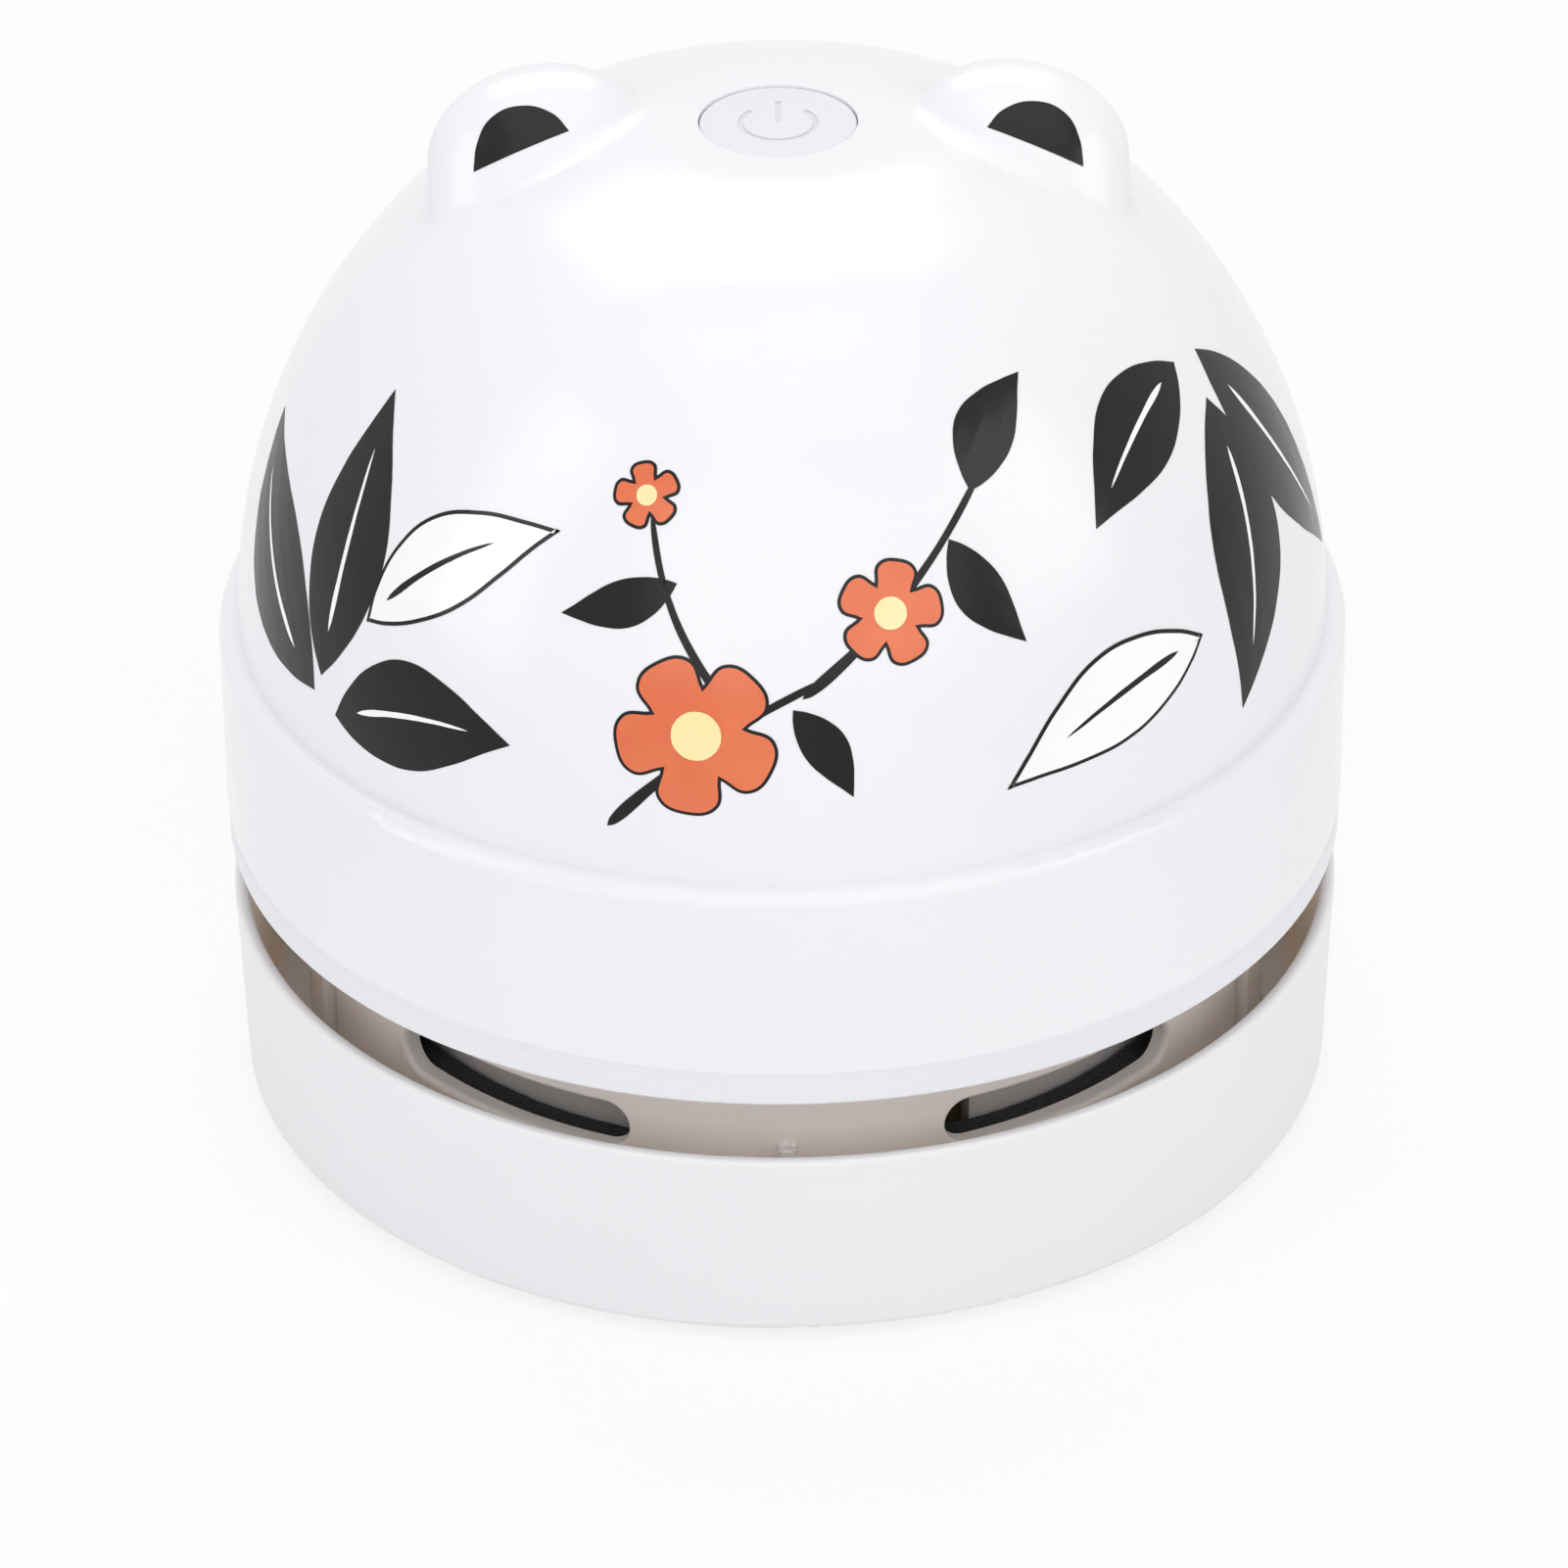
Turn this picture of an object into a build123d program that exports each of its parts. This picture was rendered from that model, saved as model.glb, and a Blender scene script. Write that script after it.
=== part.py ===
"""Desktop mini vacuum cleaner, 85 mm across.

The upper half (domed shell with two round ears, motor, fan, battery, boards) locks by a
three-lug bayonet onto a dust tray with a central inlet. Air comes up the inlet tube, drops
its dust in the tray, passes the filter and the fan, runs down outside the skirt and leaves
by the slots of the collar and the open gap between tray and rim.

Frame: origin on the desk under the middle, +Z up, front towards -Y. Millimetres.
Azimuth 0 is the front, and azimuths grow towards +X.
"""
from build123d import *
import math
import os

# ---------------------------------------------------------------- driving dimensions
# Clearances
slip = 0.1                # between pieces of one body that slide together
turn_gap = 0.3            # between pieces that turn past each other
bearing_gap = 0.03        # shaft in its bearings
button_gap = 0.15         # button in its hole

# Heights of the stack, from the desk up
stand_off = 0.8           # the glide pads lift the base ring off the desk
ring_height = 15.4
outlet_gap = 5.0          # open air outlet between base ring and rim
rim_height = 2.8
band_height = 15.15

# Upper shell
band_r = 42.5
shell_wall = 1.6
crown_wall = 1.8
shoulder_round = 1.1
shoulder_w = 1.5          # the dome stands in from the band by this much
lower_arc_r = 44.65       # the dome's side is two tangent arcs, the lower one first
lower_arc_angle = 41.9
upper_arc_r = 28.45
upper_arc_angle = 70.3    # where the upper arc runs over into the flattened crown
crown_flat_r = 7.5
crown_rise = 2.5          # the flat crown above the end of the upper arc

# Ears
ear_angle = 70.8          # an ear's middle lies on the dome's upper arc, this far up
ear_azimuth = 94.8
ear_r = 8.0
ear_half = 4.0            # half the ear's thickness
ear_lean = 38.0           # degrees an ear leans back
ear_foot = 11.0
ear_blend = 2.2

# Power button and its switch
button_r = 5.7
button_drop = 0.15        # button top below the crown
button_top_t = 1.6
button_wall = 1.1
button_flange = 1.3
button_flange_t = 1.0
button_travel = 0.5
guide_gap = 0.4           # button flange inside its guide
guide_wall = 1.2
guide_depth = 3.0
stem_r = 2.2
plunger_r = 1.7
plunger_length = 1.8
tact_size = 6.0
tact_height = 3.4
tact_gap = 0.9            # plunger top above the switch body
switch_board_x = 14.0
switch_board_y = 30.0
board_t = 1.0
board_corner = 2.0
switch_boss_y = 11.5
led_x = 5.2
led_size = (1.6, 3.2, 0.8)

# Screws: one size of self-tapping pan-head screw
screw_r = 0.9
screw_head_r = 1.8
screw_head_h = 1.2
pilot_gap = 0.1           # a pilot hole is this much larger than the screw's core
boss_wall = 1.6
cross_w = 0.5
cross_l = 2.2

# Base tray
ring_inset = 0.2          # the ring's top stands in from the band
ring_draft = 0.55         # and its foot a little more
lip_wall = 1.0
foot_wall = 1.8
floor_recess = 1.6
floor_t = 1.6
lip_round = 0.45
foot_round = 0.8
pad_r = 2.6
pad_inset = 0.35          # pads stand this far in from the foot ring
pad_pocket = 0.6
tuft_r = 0.75
tuft_offset = 6.5         # tufts outside the flange of the inlet tube
tufts_per_row = 7
tuft_rows = 4
tuft_row_arc = 66.0
tuft_hold = 1.2
tuft_tip = 0.15           # tips end just above the desk

# Inlet tube
inlet_r = 7.75
inlet_wall = 1.4
inlet_rise = 7.5
inlet_flange_w = 2.85
inlet_flange_t = 1.6
notch_w = 2.4
notch_h = 3.0

# Slotted collar and its seal
trough_w = 6.3            # from the collar out to the ring's lip
collar_wall = 1.4
collar_flange_t = 3.0
collar_flange_reach = 1.1  # flange reaches this far inside the skirt
collar_top_gap = 0.6
slot_h = 3.8
slot_drop = 4.4           # slot bottom below the top of the base ring
slot_half_angle = 16.75
slot_azimuth = 35.75
slot_round = 0.5          # outer edge of each slot
slot_round_stop = 20.0    # degrees short of flush with the collar's face
pad_azimuth = 72.5        # side pads run from here to the same angle past the side
side_pad_t = 0.9
side_pad_round = 0.4
side_groove = 0.35        # a groove this wide and deep along the pads' upright edges
mark_w = 0.9
mark_h = 3.8
mark_t = 0.4
seal_t = 2.35
seal_drop = 0.35          # the seal's outer part ends this far under the slots
seal_in = 0.6             # seal reaches this far inside the skirt
collar_screw_count = 3

# Bayonet
lug_count = 3
lug_azimuth = -12.0
lug_width = 8.0
lug_h = 2.0
lug_rise = 1.1            # middle of the lugs above the top of the base ring
lug_depth = 1.1
twist = 30.0              # degrees from locked to free
leg_width = 14.0
lug_side_gap = 1.5

# Fan housing
rim_inset = 0.1
rim_round = 0.4
plate_t = 2.0
spigot_h = 1.6
spigot_wall = 1.2
exhaust_w = 2.6           # air duct between skirt and collar
skirt_wall = 1.4
window_w = 1.9
window_count = 6
window_angle = 50.0
intake_r = 17.5
grille_ledge = 1.9
grille_t = 1.0
grille_bar = 0.9
grille_rings = (6.0, 10.0, 14.0)
grille_ribs = 6
grille_hub_r = 3.0
case_screw_inset = 2.3    # from the shell's inner wall
case_screw_azimuth = 45.0
case_boss_r = 2.5
case_boss_h = 12.5
case_screw_length = 8.0

# Filter
frame_wall = 1.9
frame_h = 5.2
frame_bar_t = 1.4
frame_bar_w = 1.6
frame_bars = 6
frame_hub_r = 4.0
filter_t = 3.6

# Impeller
fan_gap = 1.8             # blades above the housing plate
volute_w = 10.3           # from the blade tips out to the chamber's wall
fan_blade_h = 8.8
fan_disc_t = 1.2
fan_eye_r = 9.0
fan_hub_r = 4.0
fan_blades = 9
fan_blade_t = 1.0
fan_blade_bow = 3.2
fan_taper = 2.6
fan_head_room = 1.8       # motor plate above the fan disc
fan_trim = 1.0            # how far the taper's cutter reaches past the blades

# Motor mount
duct_gap = 2.3            # air duct between skirt and the mount's wall
mount_wall = 1.2
mount_plate_t = 2.0
mount_screw_h = 5.8       # height of the posts on the housing plate
mount_ear_t = 2.0
post_h = 3.2

# Motor
motor_r = 12.2
motor_can_h = 24.0
motor_can_wall = 1.0
motor_cap_h = 4.0
motor_nose_r = 3.0
motor_nose_h = 1.6
motor_screw_x = 8.0
shaft_r = 1.0
air_gap = 0.75            # between armature and magnets
armature_h = 13.0
armature_rise = 6.0
magnet_t = 2.8
magnet_arc = 140.0
commutator_r = 3.0
commutator_h = 3.0
terminal_size = (2.6, 0.5, 2.0)
terminal_x = 6.5

# Battery and cradle
cell_r = 7.0
cell_end_gap = 2.0        # from the end tabs to the shell
cell_cap_r = 2.7
cell_cap_h = 1.0
cell_gap = 1.2            # cell beside the motor
cradle_base_t = 1.2
cradle_saddle_inset = 9.0  # from the ends of the cell
cradle_saddle_w = 5.0
cradle_saddle_h = 5.0
cradle_peg_r = 1.5
tab_size = (0.3, 4.0, 9.0)

# Charging board and micro-USB socket
board_w = 18.0
board_motor_gap = 2.8
board_inset = 2.9         # rear edge of the board behind the socket's mouth
board_screw_x = 6.0
board_screw_inset = 3.5
usb_w = 7.5
usb_h = 2.7
usb_length = 5.0
usb_wall = 0.35
usb_set_back = 0.4        # socket mouth behind the dome's surface
usb_hole_gap = 0.4
usb_recess_w = 13.0
usb_recess_h = 7.4
usb_recess_t = 0.6
# each chip: x, distance from the board's rear edge, width, depth, height
chip_list = ((-4.5, 10.1, 4.0, 4.0, 1.2), (3.5, 10.1, 5.0, 5.0, 2.6), (-4.5, 5.9, 3.0, 2.0, 1.0))

# ---------------------------------------------------------------- levels and radii
ring_z = stand_off
ring_top_z = ring_z + ring_height
rim_z = ring_top_z + outlet_gap
shell_z = rim_z + rim_height
shoulder_z = shell_z + band_height
dome_r = band_r - shoulder_w

ring_top_r = band_r - ring_inset
ring_foot_r = ring_top_r - ring_draft
pad_circle_r = ring_foot_r - foot_wall - pad_inset - pad_r
floor_z = ring_z + floor_recess
floor_top_z = floor_z + floor_t
inlet_top_z = floor_top_z + inlet_rise
inlet_flange_r = inlet_r + inlet_wall + inlet_flange_w
tuft_circle_r = inlet_flange_r + tuft_offset

collar_r = ring_top_r - trough_w
collar_in_r = collar_r - collar_wall
collar_flange_z = floor_top_z + collar_flange_t
collar_top_z = rim_z - collar_top_gap
slot_z = ring_top_z - slot_drop + slot_h / 2
skirt_r = collar_in_r - exhaust_w
skirt_in_r = skirt_r - skirt_wall
collar_flange_in_r = skirt_in_r - collar_flange_reach
collar_screw_circle_r = (collar_flange_in_r + collar_r) / 2
seal_z = collar_flange_z
seal_top_z = slot_z - slot_h / 2 - seal_drop
skirt_foot_z = seal_z + seal_t + turn_gap

lug_z = ring_top_z + lug_rise
lug_in_r = skirt_r - lug_depth
notch_gap = turn_gap + slip

rim_r = band_r - rim_inset
plate_top_z = rim_z + plate_t
grille_r = intake_r + grille_ledge
duct_r = skirt_r + duct_gap
case_screw_circle_r = band_r - shell_wall - case_screw_inset

frame_r = skirt_in_r - slip
frame_z = rim_z - frame_h
filter_z = frame_z + frame_bar_t

fan_r = duct_r - volute_w
fan_z = plate_top_z + fan_gap
fan_disc_z = fan_z + fan_blade_h
fan_top_z = fan_disc_z + fan_disc_t
mount_z = fan_top_z + fan_head_room
mount_top_z = mount_z + mount_plate_t
mount_ear_z = plate_top_z + mount_screw_h

motor_z = mount_top_z
motor_cap_z = motor_z + motor_can_h
motor_top_z = motor_cap_z + motor_cap_h
magnet_r = motor_r - motor_can_wall - slip / 2
armature_r = magnet_r - magnet_t - air_gap
armature_z = motor_z + armature_rise
commutator_z = armature_z + armature_h

cell_y = -(motor_r + cell_gap + cell_r)
cell_z = mount_top_z + cradle_base_t + slip + cell_r
board_z = mount_top_z + post_h
board_top_z = board_z + board_t
usb_z = board_top_z + usb_h / 2

pilot_r = screw_r + pilot_gap
clear_r = screw_r + 2 * pilot_gap
boss_r = pilot_r + boss_wall
mount_screw_r = duct_r + mount_wall + boss_r - slip

MIN_FLOOR = (Align.CENTER, Align.CENTER, Align.MIN)
MAX_TOP = (Align.CENTER, Align.CENTER, Align.MAX)


# ---------------------------------------------------------------- helpers
def on_circle(radius, azimuth):
    """The (x, y) of a point on a circle about the axis."""
    angle = math.radians(azimuth)
    return (radius * math.sin(angle), -radius * math.cos(angle))


def section_plane(azimuth):
    """A plane through the axis: local x runs outwards at that azimuth, local y is up."""
    out_x, out_y = on_circle(1, azimuth)
    return Plane(origin=(0, 0, 0), x_dir=(out_x, out_y, 0), z_dir=(out_y, -out_x, 0))


def face_plane(azimuth, height):
    """A plane at a height that faces outwards at that azimuth, with local y up."""
    out_x, out_y = on_circle(1, azimuth)
    return Plane(origin=(0, 0, height), x_dir=(-out_y, out_x, 0), z_dir=(out_x, out_y, 0))


def dome_arcs(inset=0.0):
    """Centres and radii of the dome's two arcs, as (r, z); inset moves them into the wall."""
    lower_angle = math.radians(lower_arc_angle)
    lower_x = dome_r - lower_arc_r
    upper_x = lower_x + (lower_arc_r - upper_arc_r) * math.cos(lower_angle)
    upper_z = shoulder_z + (lower_arc_r - upper_arc_r) * math.sin(lower_angle)
    return (lower_x, shoulder_z), lower_arc_r - inset, (upper_x, upper_z), upper_arc_r - inset


def dome_line(inset, top_z):
    """Draws the dome's side from the shoulder up to the flat crown, in a line builder."""
    lower_centre, lower_r, upper_centre, upper_r = dome_arcs(inset)
    CenterArc(lower_centre, lower_r, 0, lower_arc_angle)
    upper = CenterArc(upper_centre, upper_r, lower_arc_angle, upper_arc_angle - lower_arc_angle)
    Spline(upper @ 1, (crown_flat_r, top_z), tangents=(upper % 1, (-1, 0)))
    Polyline((crown_flat_r, top_z), (0, top_z), (0, shell_z))


def dome_radius(height):
    """Outer radius of the dome at a height above the shoulder, on its lower arc."""
    (lower_x, _), lower_r, _, _ = dome_arcs()
    return lower_x + math.sqrt(lower_r ** 2 - height ** 2)


def sector(azimuth, angle, inner_r, outer_r, bottom_z, top_z):
    """A block of a ring, from an azimuth on through an angle."""
    with BuildPart() as block:
        with BuildSketch(section_plane(azimuth)):
            with Locations(((inner_r + outer_r) / 2, (bottom_z + top_z) / 2)):
                Rectangle(outer_r - inner_r, top_z - bottom_z)
        revolve(axis=Axis.Z, revolution_arc=angle)
    return block.part


def slot_line():
    """Draws half a slot's section from its middle up, rounded out at the wall's face, in a line
    builder. The round stops short of lying flush with the face, so that it meets it cleanly."""
    stop = math.radians(slot_round_stop)
    top_z = slot_z + slot_h / 2
    lip = (collar_r - slot_round * (1 - math.cos(stop)), top_z + slot_round * (1 - math.sin(stop)))
    reach = (collar_r + slip - lip[0]) / math.sin(stop)
    end = (collar_r + slip, lip[1] + reach * math.cos(stop))
    Polyline((collar_r - slot_round, top_z), (collar_in_r - slip, top_z), (collar_in_r - slip, slot_z),
             (end[0], slot_z), end, lip)
    RadiusArc((collar_r - slot_round, top_z), lip, -slot_round)


def pan_screw(length):
    """A pan-head screw: its seat is at the origin, its head points up."""
    with BuildPart() as screw:
        Cylinder(screw_head_r, screw_head_h, align=MIN_FLOOR)
        chamfer(screw.edges().group_by(Axis.Z)[-1], screw_head_h / 3)
        Cylinder(screw_r, length, align=MAX_TOP)
        with BuildSketch(Plane.XY.offset(screw_head_h)):
            Rectangle(cross_l, cross_w)
            Rectangle(cross_w, cross_l)
        extrude(amount=-screw_head_h / 2, mode=Mode.SUBTRACT)
    return screw.part


def ear_lobe(inset):
    """One ear at the origin, lying in XY with its tip to +Y: an oval section turned about its
    middle for the tip, and drawn out straight for the root that runs into the dome."""
    radius = ear_r - inset
    half = ear_half - inset
    with BuildPart() as lobe:
        with BuildSketch(Plane.XZ):
            Ellipse(radius, half)
        extrude(amount=ear_foot)
        with BuildSketch(Plane.XZ):
            Ellipse(radius, half)
            Rectangle(radius, 2 * half, align=(Align.MAX, Align.CENTER), mode=Mode.SUBTRACT)
        revolve(axis=Axis.Z, revolution_arc=180)
    return lobe.part


def ear_place(side):
    """Where the left (-1) or right (1) ear stands: leaning back, its face to the front."""
    lean = math.radians(ear_lean)
    return Plane(
        origin=(*on_circle(ear_out, side * ear_azimuth), ear_z),
        x_dir=(1, 0, 0),
        z_dir=(0, -math.cos(lean), math.sin(lean)),
    ).location


def save(builder, name):
    """Labels a finished piece and writes it as one STEP file."""
    builder.part.label = name
    export_step(builder.part, f"parts/{name}.step")


# ---------------------------------------------------------------- what the dome's shape sets
_, _, (upper_x, upper_z), upper_r = dome_arcs()
ear_out = upper_x + upper_r * math.cos(math.radians(ear_angle))
ear_z = upper_z + upper_r * math.sin(math.radians(ear_angle))
crown_z = upper_z + upper_r * math.sin(math.radians(upper_arc_angle)) + crown_rise
crown_in_z = crown_z - crown_wall
button_top_z = crown_z - button_drop
button_flange_top_z = crown_in_z - turn_gap
button_foot_z = button_flange_top_z - button_flange_t
button_in_z = button_top_z - button_top_t
switch_board_top_z = crown_in_z - guide_depth - 2 * button_travel - screw_head_h
tact_top_z = switch_board_top_z + tact_height
plunger_top_z = tact_top_z + tact_gap

cell_wall_r = dome_radius(cell_z - shoulder_z) - shell_wall
cell_room = math.sqrt(cell_wall_r ** 2 - (cell_r - cell_y) ** 2)
cell_length = 2 * (cell_room - cell_end_gap - cell_cap_h - tab_size[0])
cradle_saddle_x = cell_length / 2 - cradle_saddle_inset
usb_mouth_y = dome_radius(usb_z - shoulder_z) - usb_set_back
board_y0 = motor_r + board_motor_gap
board_y1 = usb_mouth_y - board_inset
board_screw_y = board_y0 + board_screw_inset

# ---------------------------------------------------------------- places
os.makedirs("parts", exist_ok=True)
case_screw_places = [on_circle(case_screw_circle_r, case_screw_azimuth + 90 * i) for i in range(4)]
mount_screw_places = [on_circle(mount_screw_r, 120 * i) for i in range(3)]
collar_screw_places = [on_circle(collar_screw_circle_r, 60 + 120 * i) for i in range(collar_screw_count)]
pad_places = [on_circle(pad_circle_r, 45 + 90 * i) for i in range(4)]
board_screw_places = [(-board_screw_x, board_screw_y), (board_screw_x, board_screw_y)]
switch_screw_places = [(0, -switch_boss_y), (0, switch_boss_y)]
tuft_step = tuft_row_arc / (tufts_per_row - 1)
tuft_places = [
    on_circle(tuft_circle_r, 90 * row - tuft_row_arc / 2 + tuft_step * i)
    for row in range(tuft_rows)
    for i in range(tufts_per_row)
]

# ---------------------------------------------------------------- base
# Base tray: outer ring with a rounded lip, and a floor set up from its foot.
with BuildPart() as base_tray:
    with BuildSketch(Plane.XZ):
        with BuildLine():
            Polyline(
                (inlet_r + inlet_wall + slip, floor_z),
                (ring_foot_r - foot_wall, floor_z),
                (ring_foot_r - foot_wall, ring_z),
                (ring_foot_r, ring_z),
                (ring_top_r, ring_top_z),
                (ring_top_r - lip_wall, ring_top_z),
                (ring_foot_r - foot_wall, floor_top_z),
                (inlet_r + inlet_wall + slip, floor_top_z),
                close=True,
            )
        make_face()
    revolve(axis=Axis.Z)
    lip_edges = base_tray.edges().group_by(Axis.Z)[-1]
    fillet(lip_edges, lip_round)
    foot_edge = base_tray.edges().group_by(Axis.Z)[0].sort_by(SortBy.RADIUS)[-1]
    fillet(foot_edge, foot_round)
    with BuildSketch(Plane.XY.offset(floor_z)):
        with Locations(*collar_screw_places):
            Circle(clear_r)
    extrude(amount=floor_t, mode=Mode.SUBTRACT)
    with BuildSketch(Plane.XY.offset(floor_z)):
        with Locations(*pad_places):
            Circle(pad_r + slip / 2)
    extrude(amount=pad_pocket, mode=Mode.SUBTRACT)
    with BuildSketch(Plane.XY.offset(floor_z)):
        with Locations(*tuft_places):
            Circle(tuft_r + slip / 2)
    extrude(amount=tuft_hold, mode=Mode.SUBTRACT)
save(base_tray, "base_tray")

# Inlet tube: flanged tube in the floor, its mouth notched for the nozzle's two tabs.
with BuildPart() as inlet_tube:
    with BuildSketch(Plane.XY.offset(floor_z)):
        Circle(inlet_r + inlet_wall)
    extrude(amount=inlet_top_z - floor_z)
    with BuildSketch(Plane.XY.offset(floor_top_z)):
        Circle(inlet_flange_r)
    extrude(amount=inlet_flange_t)
    chamfer(inlet_tube.edges().group_by(Axis.Z)[-1], inlet_wall / 3)
    with BuildSketch(Plane.XY.offset(floor_z)):
        Circle(inlet_r)
    extrude(amount=inlet_top_z - floor_z, mode=Mode.SUBTRACT)
    with BuildSketch(Plane.XY.offset(floor_z)):
        Rectangle(2 * (inlet_r + inlet_wall), notch_w)
    extrude(amount=notch_h, mode=Mode.SUBTRACT)
save(inlet_tube, "inlet_tube")

# Bristle tufts: four rows set in the floor round the inlet.
with BuildPart() as bristle_tufts:
    with BuildSketch(Plane.XY.offset(tuft_tip)):
        with Locations(*tuft_places):
            Circle(tuft_r)
    extrude(amount=floor_z + tuft_hold - tuft_tip)
save(bristle_tufts, "bristle_tufts")

# Glide pads: four low discs that carry the cleaner on the desk.
with BuildPart() as glide_pads:
    with BuildSketch():
        with Locations(*pad_places):
            Circle(pad_r)
    extrude(amount=floor_z + pad_pocket)
    chamfer(glide_pads.edges().group_by(Axis.Z)[0], pad_pocket / 2)
save(glide_pads, "glide_pads")

# Slotted collar: foot flange, wall with four exhaust slots, side pads, lugs and a mark.
pad_blocks = [
    sector(pad_azimuth + side, 180 - 2 * pad_azimuth, collar_r - collar_wall / 2,
           collar_r + side_pad_t, floor_top_z, collar_top_z)
    for side in (0, 180)
]
with BuildPart() as side_pads:
    add(pad_blocks)
    upright = side_pads.edges().filter_by(Axis.Z)
    fillet(upright.filter_by(lambda e: math.hypot((e @ 0.5).X, (e @ 0.5).Y) > collar_r), side_pad_round)
slot_run = slot_half_angle - math.degrees(math.asin(slot_h / 2 / collar_r))
slot_cuts = []
for azimuth in (slot_azimuth, -slot_azimuth, 180 - slot_azimuth, 180 + slot_azimuth):
    with BuildPart() as slot_middle:
        with BuildSketch(section_plane(azimuth - slot_run)):
            with BuildLine():
                slot_line()
            make_face()
        revolve(axis=Axis.Z, revolution_arc=2 * slot_run)
        mirror(about=Plane.XY.offset(slot_z))
    slot_cuts.append(slot_middle.part)
    for end_azimuth in (azimuth - slot_run, azimuth + slot_run):
        with BuildPart() as slot_end:
            with BuildSketch(section_plane(end_azimuth)):
                with BuildLine():
                    slot_line()
                make_face()
            revolve(axis=Axis((0, 0, slot_z), (*on_circle(1, end_azimuth), 0)))
        slot_cuts.append(slot_end.part)
groove_angle = math.degrees(side_groove / collar_r)
pad_grooves = [
    sector(start, groove_angle, collar_r - side_groove, collar_r + slip, floor_top_z, collar_top_z + slip)
    for side in (0, 180)
    for start in (pad_azimuth - groove_angle + side, 180 - pad_azimuth + side)
]
lugs = [
    sector(lug_azimuth - lug_width / 2 + 360 / lug_count * i, lug_width, lug_in_r,
           collar_r - collar_wall / 2, lug_z - lug_h / 2, lug_z + lug_h / 2)
    for i in range(lug_count)
]
with BuildPart() as slotted_collar:
    with BuildSketch(Plane.XZ):
        with BuildLine():
            Polyline(
                (collar_flange_in_r, floor_top_z),
                (collar_r, floor_top_z),
                (collar_r, collar_top_z),
                (collar_in_r, collar_top_z),
                (collar_in_r, collar_flange_z),
                (collar_flange_in_r, collar_flange_z),
                close=True,
            )
        make_face()
    revolve(axis=Axis.Z)
    add(side_pads.part)
    add(lugs)
    with BuildSketch(face_plane(0, slot_z - mark_h / 2)):
        Rectangle(mark_w, mark_h)
    extrude(amount=collar_r + mark_t)
    with BuildSketch(Plane.XY.offset(collar_flange_z)):
        Circle(collar_in_r)
    extrude(amount=lug_z - lug_h / 2 - collar_flange_z, mode=Mode.SUBTRACT)
    add(slot_cuts, mode=Mode.SUBTRACT)
    add(pad_grooves, mode=Mode.SUBTRACT)
    with BuildSketch(Plane.XY.offset(floor_top_z)):
        with Locations(*collar_screw_places):
            Circle(pilot_r)
    extrude(amount=collar_flange_t - slip - pilot_gap, mode=Mode.SUBTRACT)
save(slotted_collar, "slotted_collar")

# Foam seal: black foam ring on the collar's flange, under the skirt and up round its foot.
with BuildPart() as foam_seal:
    with BuildSketch(Plane.XY.offset(seal_z)):
        Circle(collar_in_r - slip)
        Circle(skirt_in_r - seal_in, mode=Mode.SUBTRACT)
    extrude(amount=seal_t)
    with BuildSketch(Plane.XY.offset(seal_z)):
        Circle(collar_in_r - slip)
        Circle(skirt_r + turn_gap, mode=Mode.SUBTRACT)
    extrude(amount=seal_top_z - seal_z)
save(foam_seal, "foam_seal")

# Collar screws: from below through the floor into the flange.
collar_screw = pan_screw(floor_t + collar_flange_t - turn_gap)
with BuildPart() as collar_screws:
    for x, y in collar_screw_places:
        with Locations(Location((x, y, floor_z), (180, 0, 0))):
            add(collar_screw)
save(collar_screws, "collar_screws")

# ---------------------------------------------------------------- fan housing
# Fan housing: visible rim, plate with exhaust windows, and the skirt with bayonet slots.
windows = [
    sector(360 / window_count * i - window_angle / 2, window_angle, skirt_r + slip,
           skirt_r + slip + window_w, rim_z - slip, plate_top_z + slip)
    for i in range(window_count)
]
notch_legs = [
    sector(360 / lug_count * i + lug_azimuth + twist - leg_width / 2, leg_width, skirt_in_r - slip,
           skirt_r + slip, skirt_foot_z - slip, lug_z + lug_h / 2 + notch_gap)
    for i in range(lug_count)
]
notch_runs = [
    sector(360 / lug_count * i + lug_azimuth - lug_width / 2 - lug_side_gap,
           twist + lug_width / 2 + lug_side_gap, skirt_in_r - slip, skirt_r + slip,
           lug_z - lug_h / 2 - notch_gap, lug_z + lug_h / 2 + notch_gap)
    for i in range(lug_count)
]
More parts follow.
